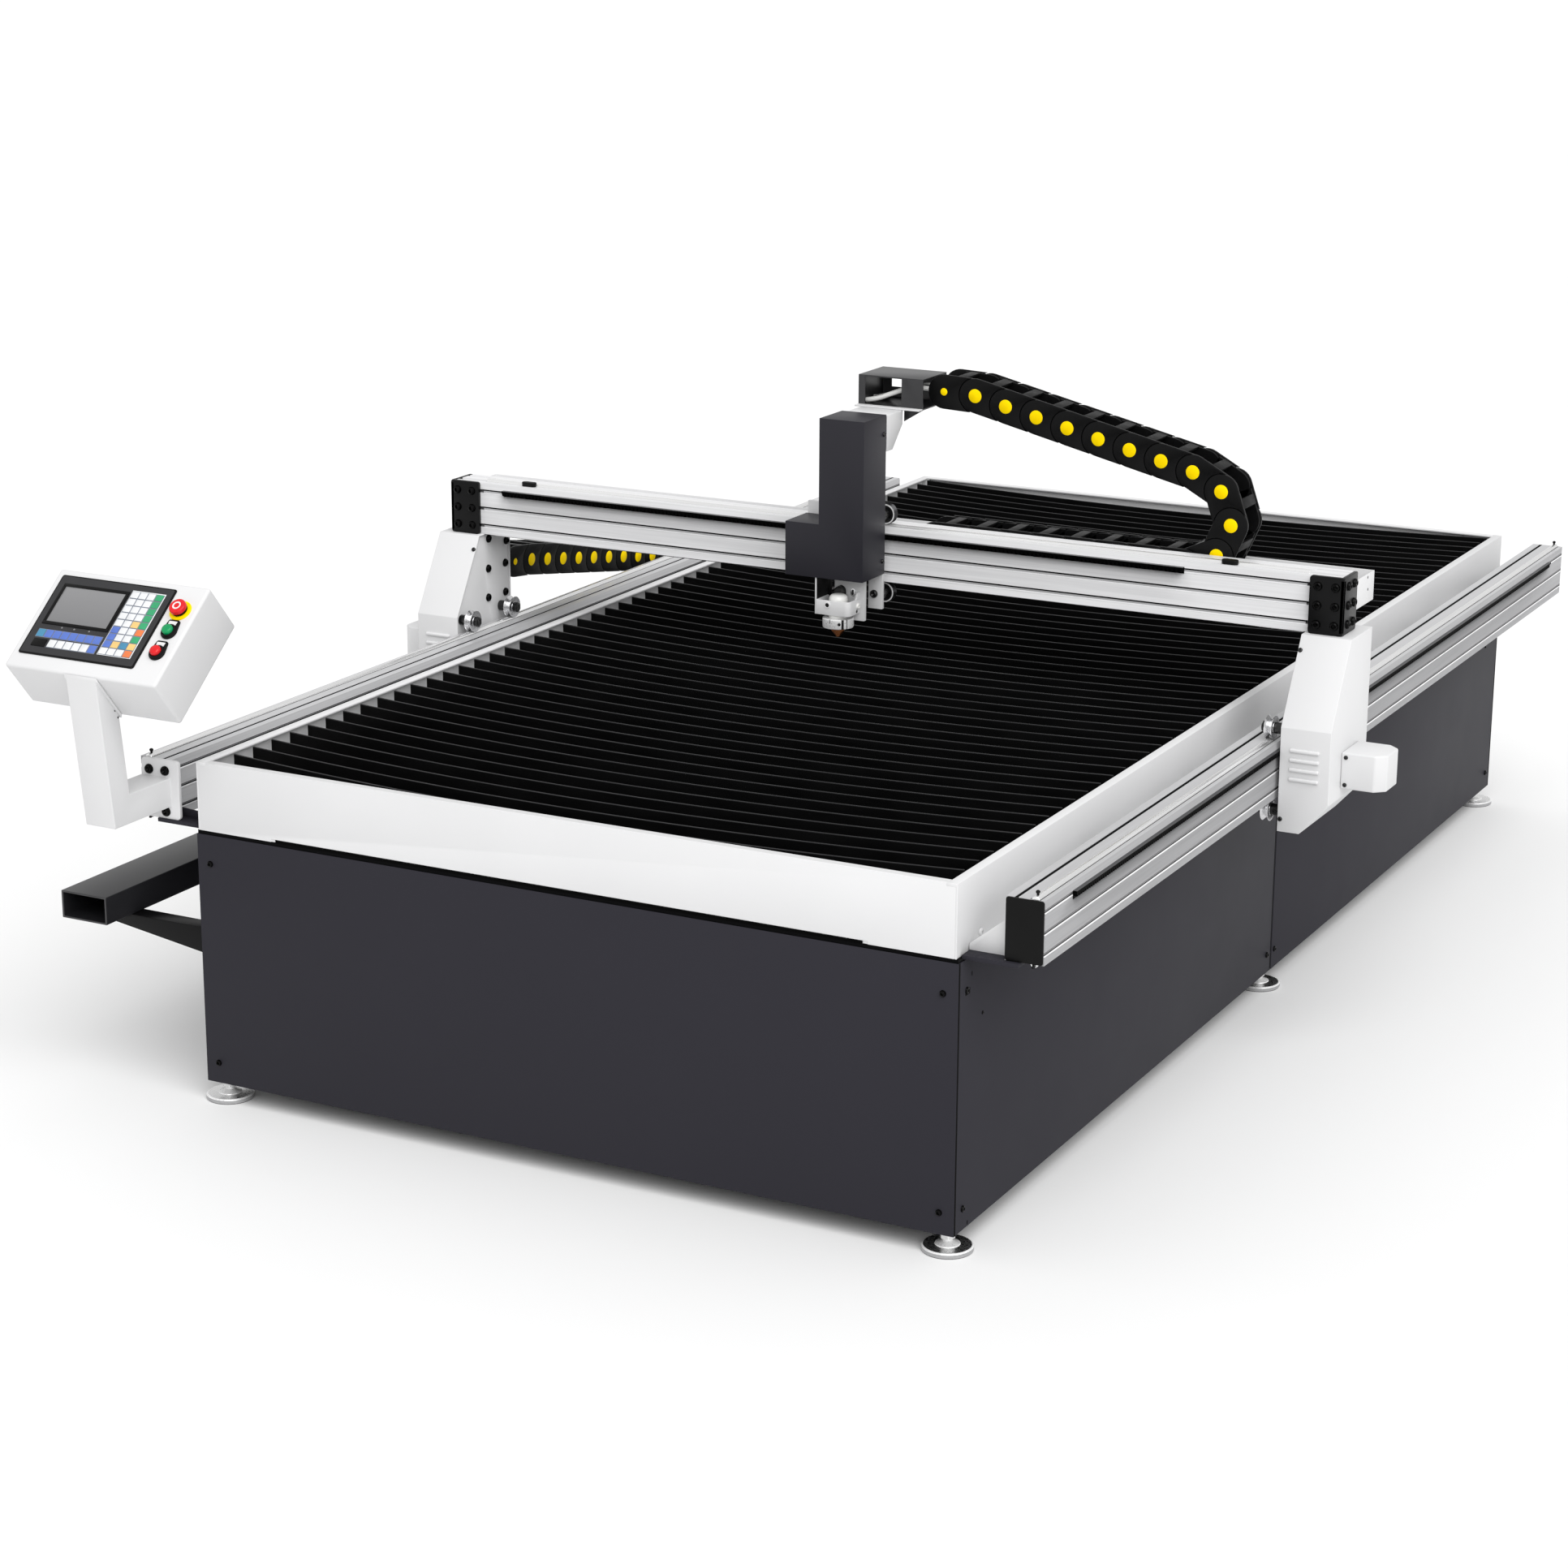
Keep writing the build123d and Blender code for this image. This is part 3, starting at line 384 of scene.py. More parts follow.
class Workpiece:
    """One mesh piece in the making, in millimetres, with Y measured from the front of the tray."""

    def __init__(self, name: str, finish: Paint) -> None:
        """Start an empty piece with its main finish."""
        self.name = name
        self.finishes = [finish]
        self.bm = bmesh.new()

    def take(self, part: Mesh, finish: Paint | None = None, place: Matrix | None = None) -> None:
        """Move a finished part into the piece.

        Args:
            part: The part, which is freed.
            finish: Its finish, or none for the main one.
            place: Matrix that puts it on the machine.
        """
        finish = finish or self.finishes[0]
        if finish not in self.finishes:
            self.finishes.append(finish)
        for face in part.faces:
            face.material_index = self.finishes.index(finish)
        if place is not None:
            part.transform(place)
        mesh = bpy.data.meshes.new("part")
        part.to_mesh(mesh)
        part.free()
        self.bm.from_mesh(mesh)
        bpy.data.meshes.remove(mesh)

    def box(self, low: Sequence[float], high: Sequence[float], soft: float = 0.0, steps: int = 2,
            finish: Paint | None = None, place: Matrix | None = None) -> None:
        """Add a box with rounded edges.

        Args:
            low: Lowest corner.
            high: Highest corner.
            soft: Width of the rounding.
            steps: Faces across the rounding.
            finish: Finish, or none for the main one.
            place: Matrix that puts it on the machine.
        """
        part = bmesh.new()
        bmesh.ops.create_cube(part, size=1.0)
        low, high = Vector(low), Vector(high)
        bmesh.ops.scale(part, vec=high - low, verts=part.verts)
        bmesh.ops.translate(part, vec=(low + high) / 2, verts=part.verts)
        if soft:
            soften(part, soft, steps)
        self.take(part, finish, place)

    def prism(self, outline: Iterable[Flat], axis: Axis, low: float, high: float, soft: float = 0.0,
              steps: int = 2, finish: Paint | None = None, place: Matrix | None = None) -> None:
        """Add a plate with a drawn outline.

        Args:
            outline: Points in the plane across the axis, in the order of the other two axes.
            axis: Direction of the thickness.
            low: Where the plate begins on the axis.
            high: Where it ends.
            soft: Width of the rounding.
            steps: Faces across the rounding.
            finish: Finish, or none for the main one.
            place: Matrix that puts it on the machine.
        """
        part = bmesh.new()
        lane = "XYZ".index(axis.name)
        face = part.faces.new([part.verts.new((*at[:lane], low, *at[lane:])) for at in outline])
        pulled = bmesh.ops.extrude_face_region(part, geom=[face])["geom"]
        moved = [item for item in pulled if isinstance(item, bmesh.types.BMVert)]
        bmesh.ops.translate(part, vec=Vector(axis.value) * (high - low), verts=moved)
        bmesh.ops.recalc_face_normals(part, faces=part.faces)
        if soft:
            soften(part, soft, steps)
        self.take(part, finish, place)

    def turned(self, profile: Sequence[Flat], at: Point, axis: Axis | Vector = Axis.Z, steps: int = 32,
               finish: Paint | None = None, place: Matrix | None = None) -> None:
        """Add a turned part.

        Args:
            profile: Points as radius and height along the axis.
            at: Point on the axis where the height is zero.
            axis: Direction of the axis.
            steps: Faces round the axis.
            finish: Finish, or none for the main one.
            place: Matrix that puts it on the machine.
        """
        part = bmesh.new()
        verts = [part.verts.new((r, 0, h)) for r, h in profile]
        edges = [part.edges.new(pair) for pair in zip(verts, verts[1:])]
        bmesh.ops.spin(part, geom=verts + edges, cent=(0, 0, 0), axis=(0, 0, 1), angle=2 * pi, steps=steps,
                       use_merge=True, use_duplicate=False)
        bmesh.ops.remove_doubles(part, verts=part.verts, dist=MERGE)
        bmesh.ops.recalc_face_normals(part, faces=part.faces)
        part.transform(Matrix.Translation(at) @ toward(axis))
        self.take(part, finish, place)

    def cable(self, route: Sequence[Point], r: float, finish: Paint | None = None) -> None:
        """Add a round cable along a smooth line.

        Args:
            route: Control points of the line.
            r: Radius of the cable.
            finish: Finish, or none for the main one.
        """
        curve = bpy.data.curves.new("cable", "CURVE")
        curve.dimensions = "3D"
        curve.bevel_depth = r
        curve.bevel_resolution = 3
        curve.use_fill_caps = True
        spline = curve.splines.new("NURBS")
        spline.points.add(len(route) - 1)
        for knot, point in zip(spline.points, route):
            knot.co = (*point, 1.0)
        spline.order_u = 3
        spline.use_endpoint_u = True
        holder = bpy.data.objects.new("cable", curve)
        mesh = bpy.data.meshes.new_from_object(holder)
        part = bmesh.new()
        part.from_mesh(mesh)
        bmesh.ops.remove_doubles(part, verts=part.verts, dist=MERGE)
        bmesh.ops.recalc_face_normals(part, faces=part.faces)
        bpy.data.meshes.remove(mesh)
        bpy.data.objects.remove(holder)
        bpy.data.curves.remove(curve)
        self.take(part, finish)

    def node(self, node: str, soft: float, steps: int = 2) -> None:
        """Add a copy of a construction node with its edges rounded.

        Args:
            node: Name of the node.
            soft: Width of the rounding.
            steps: Faces across the rounding.
        """
        part = bmesh.new()
        part.from_mesh(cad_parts[node].data)
        part.transform(Matrix.Translation((0, -TABLE_FRONT / MM, 0)) @ Matrix.Scale(1 / MM, 4))
        bmesh.ops.remove_doubles(part, verts=part.verts, dist=NODE_MERGE)
        bmesh.ops.dissolve_limit(part, angle_limit=FLAT_EDGE, verts=part.verts, edges=part.edges)
        soften(part, soft, steps)
        self.take(part)

    def hang(self, body: str | None, replaces: Iterable[str] = ()) -> bpy.types.Object:
        """Turn the piece into an object on its body.

        Args:
            body: Body that it moves with, or none.
            replaces: Nodes that it stands for.

        Returns:
            The object, at the origin with its place in its mesh.
        """
        self.bm.transform(Matrix.Translation((0, TABLE_FRONT, 0)) @ Matrix.Scale(MM, 4))
        mesh = bpy.data.meshes.new(self.name)
        self.bm.to_mesh(mesh)
        self.bm.free()
        mesh.shade_smooth()
        mesh.set_sharp_from_angle(angle=SMOOTH_EDGE)
        for finish in self.finishes:
            mesh.materials.append(finish)
        piece = bpy.data.objects.new(self.name, mesh)
        bpy.context.scene.collection.objects.link(piece)
        if body:
            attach(piece, body)
        if replaces:
            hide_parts(*replaces)
        LOG.info("%s: %d faces", self.name, len(mesh.polygons))
        return piece


def arc(at: Flat, r: float, start: float, end: float, steps: int) -> list[Flat]:
    """Points of an arc, angles in degrees, both ends included."""
    turns = [radians(start + (end - start) * i / steps) for i in range(steps + 1)]
    return [(at[0] + r * cos(t), at[1] + r * sin(t)) for t in turns]


def rounded(u0: float, u1: float, v0: float, v1: float, r: float, steps: int = 5) -> list[Flat]:
    """Outline of a rectangle with round corners."""
    corners = ((u1 - r, v1 - r), (u0 + r, v1 - r), (u0 + r, v0 + r), (u1 - r, v0 + r))
    return [point for i, at in enumerate(corners) for point in arc(at, r, 90 * i, 90 * i + 90, steps)]


def button_head(piece: Workpiece, at: Point, axis: Axis | Vector, r: float,
                finish: Paint | None = None) -> None:
    """Add a round screw head with a socket.

    Args:
        piece: Piece that holds the screws.
        at: Point on the surface under the head.
        axis: Direction that the head faces.
        r: Radius of the head.
        finish: Finish, or none for the main one.
    """
    h = 0.62 * r
    profile = [(0, 0.3 * h), (0.42 * r, 0.34 * h), (0.46 * r, 0.96 * h), (0.62 * r, h), (0.86 * r, 0.78 * h)]
    profile += [(r, 0.34 * h), (r, -0.1 * h)]
    piece.turned(profile, at, axis, 16, finish)


def bar_profile(r: float, low: float, high: float, chamfer: float) -> list[Flat]:
    """Profile of a plain bar with chamfered ends."""
    side = [(r - chamfer, low), (r, low + chamfer), (r, high - chamfer), (r - chamfer, high)]
    return [(0, low), *side, (0, high)]


def extent(node: str) -> tuple[Vector, Vector]:
    """Lowest and highest corner of a node in millimetres, Y from the front of the tray."""
    shift = Vector((0, TABLE_FRONT, 0))
    low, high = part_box(node)
    return (low - shift) / MM, (high - shift) / MM


def dress(node: str, finish: Paint) -> None:
    """Give a construction node that stays in view its finish."""
    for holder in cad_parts[node].material_slots:
        holder.material = finish
    LOG.info("%s: dressed as %s", node, finish.name)


def softened(name: str, node: str, body: str, finish: Paint, soft: float) -> None:
    """Show a construction node with rounded edges.

    Args:
        name: Name of the new piece.
        node: Node that it copies and replaces.
        body: Body that it moves with.
        finish: Finish of the piece.
        soft: Width of the rounding in millimetres.
    """
    piece = Workpiece(name, finish)
    piece.node(node, soft)
    piece.hang(body, [node])


@dataclass
class Base:
    """Panels on the welded frame with their screws, and the levelling feet."""

    coats: Finishes
    panel_edge: float = 0.9
    screw: float = 6.5
    small_screw: float = 3.6
    front_screw_x: float = 800.0
    screw_rows: Flat = (85.0, 504.5)
    side_screw_y: Row = (36.0, 1639.0, 1687.0, 3304.0)
    small_screw_at: Flat = (107.0, 440.0)
    side_slots: tuple[Area, ...] = ((40.5, 501.0, 20.0, 12.0), (57.5, 530.0, 4.0, 8.5),
                                    (59.0, 49.5, 4.0, 8.5))
    joint_y: float = 1663.0
    tray_gap_shade: Flat = (640.0, 5.5)
    foot_x: float = 802.0
    foot_y: Row = (36.0, 1670.0, 3304.0)
    foot_r: float = 48.5
    nut: Point = (15.0, 24.0, 42.0)

    def build(self) -> None:
        """Build and dress the base."""
        for node, sides in (("end_panels", "front_and_rear"), ("side_panels", "left_and_right")):
            softened(f"panels_{sides}", node, "table", self.coats.anthracite, self.panel_edge)
        # The frame is near black as painted shade in the gap under the tray.
        dress("base_frame", self.coats.primer_and_gap_shade)
        self.build_screws()
        self.build_seams()
        self.build_feet()

    def build_screws(self) -> None:
        """Build the screws that hold the panels."""
        low, high = extent("end_panels")
        piece = Workpiece("panel_screws", self.coats.bolt)
        for z in self.screw_rows:
            for x in (-self.front_screw_x, self.front_screw_x):
                button_head(piece, (x, low.y, z), FRONT, self.screw)
                button_head(piece, (x, high.y, z), Axis.Y, self.screw)
            for y in self.side_screw_y:
                button_head(piece, (high.x, y, z), Axis.X, self.screw)
                button_head(piece, (low.x, y, z), LEFT, self.screw)
        inset, z = self.small_screw_at
        for y in (inset, high.y - inset):
            button_head(piece, (high.x, y, z), Axis.X, self.small_screw)
            button_head(piece, (low.x, y, z), LEFT, self.small_screw)
        piece.hang("table")

    def build_seams(self) -> None:
        """Build the dark seams at the corners, the black strips that paint the shadow of the gap under the
        tray, and the black patches that paint the shade in the side panels' openings.
        """
        low, high = extent("end_panels")
        piece = Workpiece("panel_seams", self.coats.rack)
        joint = self.joint_y
        seams = ((low.y + 1.4, low.y + 7), (joint - 1.6, joint + 1.6), (high.y - 7, high.y - 1.4))
        for side in (-1, 1):
            x0, x1 = sorted((side * (high.x - 0.5), side * (high.x + 0.2)))
            for y0, y1 in seams:
                piece.box((x0, y0, low.z + 0.5), (x1, y1, high.z - 0.5))
            # Black patches that paint the shade in the side openings.
            for y, z, long, tall in self.side_slots:
                outline = rounded(y - long / 2, y + long / 2, z - tall / 2, z + tall / 2, 1.6)
                piece.prism(outline, Axis.X, x0, x1)
        # Black strips along the tray's lower edge that paint the shadow of the gap under it.
        half, tall = self.tray_gap_shade
        z = extent("tray_frame")[0].z
        for y in (low.y, high.y):
            piece.box((-half, y - 0.3, z - 0.3), (half, y + 0.3, z + tall))
        piece.hang("table")

    def build_feet(self) -> None:
        """Build the chromed feet, each a disc with a hub, a stud and a lock nut; the disc's side is a darker
        steel as painted shade, and the rubber ring under it also paints the dark contact line.
        """
        coats = self.coats
        piece = Workpiece("levelling_feet_chromed", coats.nickel)
        r = self.foot_r
        nut_r, nut_low, nut_high = self.nut
        # The rubber ring under each disc also paints the dark contact line, and the disc's side takes a
        # darker steel as painted shade.
        pad_and_contact_shade = [(0, 0), (r - 1.5, 0), (r - 1.5, 1.8)]
        side = [(r - 1.5, 1.2), (r - 0.6, 1.2), (r, 2), (r, 8.4)]
        rim = [(r, 8.4), (r - 1.4, 10.2), (r - 3.5, 11)]
        dish = [(r - 3.5, 11), (24, 12)]
        hub = [(24, 12), (23, 13.4), (15, 16), (12, 18.5), (10, 19), (10, nut_low + 1), (0, nut_low + 1)]
        layers = ((pad_and_contact_shade, coats.rubber), (side, coats.turned), (rim, None), (dish, coats.chrome), (hub, None))
        for x in (-self.foot_x, self.foot_x):
            for y in self.foot_y:
                for profile, finish in layers:
                    piece.turned(profile, (x, y, 0), Axis.Z, 48, finish)
                piece.prism(arc((x, y), nut_r, 0, 300, 5), Axis.Z, nut_low, nut_high, 1.2)
        piece.hang("table", ["levelling_feet"])


@dataclass
class Bed:
    """Tray, slat holders and bowed slats."""

    coats: Finishes
    tray_edge: float = 1.4
    count: int = 52
    pitch: float = 63.0
    first: float = 88.75
    half: float = 797.0
    bow: float = 69.75
    thick: float = 4.0
    low: float = 617.0
    top: float = 709.5
    bends: int = 24
    holder_x: Flat = (780.0, 783.0)
    holder_top: float = 672.0
    holder_gap: float = 5.0
    bolt: float = 7.5
    bolt_y: Row = tuple(102.0 + 525.0 * i for i in range(7))
    bolt_z: float = 594.0

    def build(self) -> None:
        """Build and dress the bed."""
        self.build_tray()
        self.build_slats()
        self.build_holders()

    def build_tray(self) -> None:
        """Build the tray with the bolts in its side walls."""
        piece = Workpiece("slag_tray", self.coats.white)
        piece.node("tray_frame", self.tray_edge)
        _, high = extent("tray_frame")
        for y in self.bolt_y:
            button_head(piece, (high.x, y, self.bolt_z), Axis.X, self.bolt)
            button_head(piece, (-high.x, y, self.bolt_z), LEFT, self.bolt)
        self.add_corners(piece)
        piece.hang("table", ["tray_frame"])

    def add_corners(self, piece: Workpiece) -> None:
        """Close the welded seams at the tray's four corners."""
        low, high = extent("tray_frame")
        sunk, proud, cover_edge = 0.25, 0.1, 0.85
        for x0, x1 in ((high.x - 23, high.x - 2), (low.x + 2, low.x + 23)):
            for y0, y1 in ((low.y + sunk, low.y + 19.5), (high.y - 19.5, high.y - sunk)):
                piece.box((x0, y0, low.z + 1), (x1, y1, high.z - sunk), self.tray_edge)
            for y0, y1 in ((low.y - proud, low.y + 5), (high.y - 5, high.y + proud)):
                piece.box((x0, y0, high.z - 7), (x1, y1, high.z + proud), cover_edge)

    def build_slats(self) -> None:
        """Build the slats, each a strip bent to one large radius."""
        piece = Workpiece("slats", self.coats.slat)
        radius = (self.half**2 + self.bow**2) / (2 * self.bow)
        sweep = 2 * atan2(self.half, radius - self.bow)
        for i in range(self.count):
            end = self.first + i * self.pitch
            part = bmesh.new()
            corners = [(-self.half, end + side * self.thick / 2, z)
                       for side, z in ((-1, self.low), (1, self.low), (1, self.top), (-1, self.top))]
            face = part.faces.new([part.verts.new(corner) for corner in corners])
            bmesh.ops.spin(part, geom=[face, *face.edges, *face.verts], axis=(0, 0, 1), angle=sweep,
                           cent=(0, end - self.bow + radius, 0), steps=self.bends, use_merge=False,
                           use_duplicate=False)
            bmesh.ops.recalc_face_normals(part, faces=part.faces)
            piece.take(part)
        piece.hang("table", ["cutting_slats"])

    def build_holders(self) -> None:
        """Build the comb plates that stand between the slat ends."""
        piece = Workpiece("slat_holders", self.coats.white)
        long = self.pitch - 2 * self.holder_gap
        for i in range(self.count - 1):
            y = self.first + i * self.pitch + self.holder_gap
            for x0, x1 in (self.holder_x, (-self.holder_x[1], -self.holder_x[0])):
                piece.box((x0, y, self.low), (x1, y + long, self.holder_top), 0.8, 1)
        piece.hang("table")


def add_rack(piece: Workpiece, across: Axis, low: Vector, high: Vector, back: Sequence[float], skirt: float,
             cover: Paint) -> None:
    """Add a rack: a bar with a lighter satin top as painted light on its upper face, teeth that hang under
    it and a black strip behind them as painted shade.

    Args:
        piece: Piece that takes the rack.
        across: Direction across the rack, X or Y.
        low: Lowest corner of the bar.
        high: Highest corner of the bar.
        back: Faces of the strip across the rack.
        skirt: How far the strip, painted shade, reaches below the teeth.
        cover: Finish of the bar's top, lighter than the bar as painted light.
    """
    wide, long = (0, 1) if across is Axis.X else (1, 0)
    crown = low.z - RACK_TOOTH
    piece.box(low, high, 0.5, 1)
    near, far = Vector((low.x, low.y, crown - skirt)), Vector((high.x, high.y, low.z))
    near[wide], far[wide] = back
    # Black strip behind and below the teeth: painted shade between and under them.
    piece.box(near, far)
    # Lighter satin top: painted light on the bar's upper face.
    piece.box((low.x, low.y, high.z - 0.4), (high.x, high.y, high.z + 0.05), finish=cover)
    pitch = pi * RACK_MODULE
    root, tip = 0.42 * pitch, 0.13 * pitch
    for i in range(int((high[long] - low[long]) / pitch)):
        at = low[long] + (i + 0.5) * pitch
        outline = [(at - root, low.z), (at - tip, crown), (at + tip, crown), (at + root, low.z)]
        piece.prism(outline, across, low[wide], high[wide])


@dataclass(frozen=True)
class SlotLines:
    """Strips that paint a slot's shade and light: a near-black ground and a darker floor as painted shade,
    and a slanted lower lip in a lighter finish, partly a painted highlight.
    """

    coats: Finishes
    floor_shade: Paint
    axis: Axis
    span: Flat
    floor: Flat
    lip: Flat

    def add(self, piece: Workpiece, face: float, out: int, z: float) -> None:
        """Add the painted shade and highlight strips of one slot.

        Args:
            piece: Piece that takes the strips.
            face: Place of the extrusion's face.
            out: 1 or -1, the side that the face looks to.
            z: Middle of the slot.
        """
        (floor_low, floor_high), (lip_low, lip_high) = self.floor, self.lip
        # Near-black ground as painted shade inside the slot, a darker floor as painted shade on its floor,
        # and a lip in a lighter finish, partly a painted highlight.
        ground = ((1.4, -4.2), (1.4, 4.2), (4.0, 4.2), (4.0, -4.2))
        floor = ((0.9, floor_low), (0.9, floor_high), (1.6, floor_high), (1.6, floor_low))
        lip = ((0.9, lip_high), (-0.2, lip_low + 0.4), (-0.2, lip_low), (1.8, lip_low), (1.8, lip_high))
        for line, finish in ((ground, self.coats.painted_groove_shade), (floor, self.floor_shade), (lip, self.coats.lip)):
            outline = [(face - out * deep, z + up) for deep, up in line]
            piece.prism(outline, self.axis, *self.span, finish=finish)


@dataclass
class Rails:
    """Side rails with rods, racks, caps, stops and brackets, and the cable tube."""

    coats: Finishes
    rod_x: float = 962.0
    rod_r: float = 8.0
    rod_z: Flat = (579.0, 695.0)
    span: Flat = (27.0, 3350.0)
    inner: float = 906.0
    outer: float = 981.0
    heights: Flat = (577.0, 697.0)
    rack_back: float = 0.6
    rack_shade_reach: float = 5.5
    cap_corner: float = 5.0
    cap_screw: float = 4.5
    cap_screws: Flat = (20.0, 100.0)
    stop_y: Flat = (37.0, 3340.0)
    stop_base: float = 703.0
    wall: float = 828.0
    foot_out: float = 937.0
    bracket_y: Row = tuple(37.5 + 544.25 * i for i in range(7))
    bracket_half: float = 22.5
    bracket_t: float = 8.0
    web_y: Flat = (10.0, 15.0)
    web_rise: Point = (12.0, 74.0, 18.0)
    tube_y: Row = (35.0, 870.0, 1670.0, 2500.0, 3305.0)
    tube_x: Flat = (830.0, 1124.0)
    tube_z: float = 362.0
    arm_half: float = 20.0
    arm_drop: Flat = (12.0, 55.0)
    slot_heights: Row = (20.0, 60.0, 100.0)

    def build(self) -> None:
        """Build and dress the rails."""
        coats = self.coats
        softened("rail_extrusions", "side_rails", "table", coats.rail, 0.6)
        softened("cable_tube", "chain_tube", "table", coats.satin, 1.8)
        self.build_brackets()
        self.build_slots()
        self.build_rods()
        self.build_racks()
        self.build_caps()

    def build_brackets(self) -> None:
        """Build the rail brackets, each a dark foot plate with a pale web, and the arms under the tube; the
        front left web is lower and painted anthracite as shade.
        """
        piece = Workpiece("rail_and_tube_brackets", self.coats.black)
        low, half = self.heights[0], self.bracket_half
        wall_rise, rail_rise, hidden_rise = self.web_rise
        for y in self.bracket_y:
            for side in (-1, 1):
                # The front left web is lower and painted anthracite instead of white, as the shade that lies
                # there.
                shaded_web = side < 0 and y == self.bracket_y[0]
                rise = hidden_rise if shaded_web else rail_rise
                finish = self.coats.anthracite if shaded_web else self.coats.white
                x0, x1 = sorted((side * self.wall, side * self.foot_out))
                foot = ((x0, y - half, low - self.bracket_t), (x1, y + half, low))
                piece.box(*foot, 1.0, 2, self.coats.anthracite)
                web = [(self.wall, low), (self.inner, low)]
                web += [(self.inner, low + rise), (self.wall, low + wall_rise)]
                start, end = (y + step for step in self.web_y)
                piece.prism([(side * x, z) for x, z in web], Axis.Y, start, end, 0.8, 2, finish)
        (near, far), z = self.tube_x, self.tube_z
        tip, root = self.arm_drop
        arm = [(-near, z), (-far, z), (-far, z - tip), (-near, z - root)]
        for y in self.tube_y:
            piece.prism(arm, Axis.Y, y - self.arm_half, y + self.arm_half, 1.0)
        piece.hang("table", ["side_brackets"])

    def build_slots(self) -> None:
        """Build the painted shade and highlight lines of the slots in the rails, a dark strip as painted
        shade in each top slot, and dark lines as painted contact shade on both sides of each upper rod.
        """
        coats = self.coats
        piece = Workpiece("rail_slot_flanks", coats.rail_slot_shade)
        low, high = self.heights
        start, end = self.span
        lines = SlotLines(coats, coats.rail_slot_shade, Axis.Y, self.span, (0.2, 2.6), (-4.4, -2.2))
        for side in (-1, 1):
            for face, out in ((self.inner, -side), (self.outer, side)):
                for height in self.slot_heights:
                    lines.add(piece, side * face, out, low + height)
            x = side * (self.inner + 20)
            # Dark strip that paints the shade in the top slot.
            piece.box((x - 3.9, start, high - 3), (x + 3.9, end, high - 1.2), finish=coats.painted_groove_shade)
            # Dark lines that paint the contact shade on both sides of the upper rod.
            for beside in (self.rod_x - self.rod_r - 1.0, self.rod_x + self.rod_r + 1.0):
                x = side * beside
                piece.box((x - 0.7, start, high - 1), (x + 0.7, end, high + 0.1), finish=coats.painted_groove_shade)
        piece.hang("table")

    def build_rods(self) -> None:
        """Build the ground rods on both edges of each rail."""
        piece = Workpiece("rail_rods", self.coats.rod_y)
        for x in (-self.rod_x, self.rod_x):
            for z in self.rod_z:
                piece.turned(bar_profile(self.rod_r, *self.span, 1.0), (x, 0, z), Axis.Y, 32)
        piece.hang("table", ["rail_guide_rods"])

    def build_racks(self) -> None:
        """Build the toothed racks on the outer faces."""
        low, high = extent("y_racks")
        piece = Workpiece("lengthwise_racks", self.coats.rack)
        for x0, x1, side in ((self.outer, high.x, 1), (low.x, -self.outer, -1)):
            back = sorted((side * self.outer, side * (self.outer + self.rack_back)))
            near, far = Vector((x0, low.y, low.z)), Vector((x1, high.y, high.z))
            add_rack(piece, Axis.X, near, far, back, self.rack_shade_reach, self.coats.satin)
        piece.hang("table", ["y_racks"])

    def build_caps(self) -> None:
        """Build the end caps with their screws, and the ball-headed stops over the rods."""
        low, high = extent("rail_end_caps")
        piece = Workpiece("rail_caps_and_stops", self.coats.cap)
        front = (low.y, self.span[0], FRONT, low.y + 2.8)
        rear = (self.span[1], high.y, Axis.Y, high.y - 2.8)
        low_z, high_z = self.heights
        for side, ends in ((1, (front, rear)), (-1, (rear,))):
            x0, x1 = sorted((side * self.inner, side * self.outer))
            outline = rounded(x0 + 1, x1 - 1, low_z + 1, high_z - 1, self.cap_corner)
            for y0, y1, facing, seat in ends:
                piece.prism(outline, Axis.Y, y0, y1, 0.8)
                for height in self.cap_screws:
                    button_head(piece, ((x0 + x1) / 2, seat, low_z + height), facing, self.cap_screw)
        knob = [(0, 9), (2, 8.7), (3.7, 7.4), (4.2, 5.6), (3.6, 3.8), (2.4, 2.8), (2.4, -1)]
        drop = [(0, 6.5), (2.4, 6), (3.4, 4.4), (2, 2.6), (2, -1)]
        for x in (-self.rod_x, self.rod_x):
            for y in self.stop_y:
                piece.turned(knob, (x, y, self.stop_base), Axis.Z, 24)
            piece.turned(drop, (x, low.y + 1, low_z), DOWN, 20)
        piece.hang("table", ["rail_end_caps"])


class KeyColour(Enum):
    """Plain colours of the film keys."""

    WHITE = "key_white"
    BLUE = "key_blue"
    GREEN = "key_green"
    ORANGE = "key_orange"
    AMBER = "key_amber"
    TEAL = "key_teal"


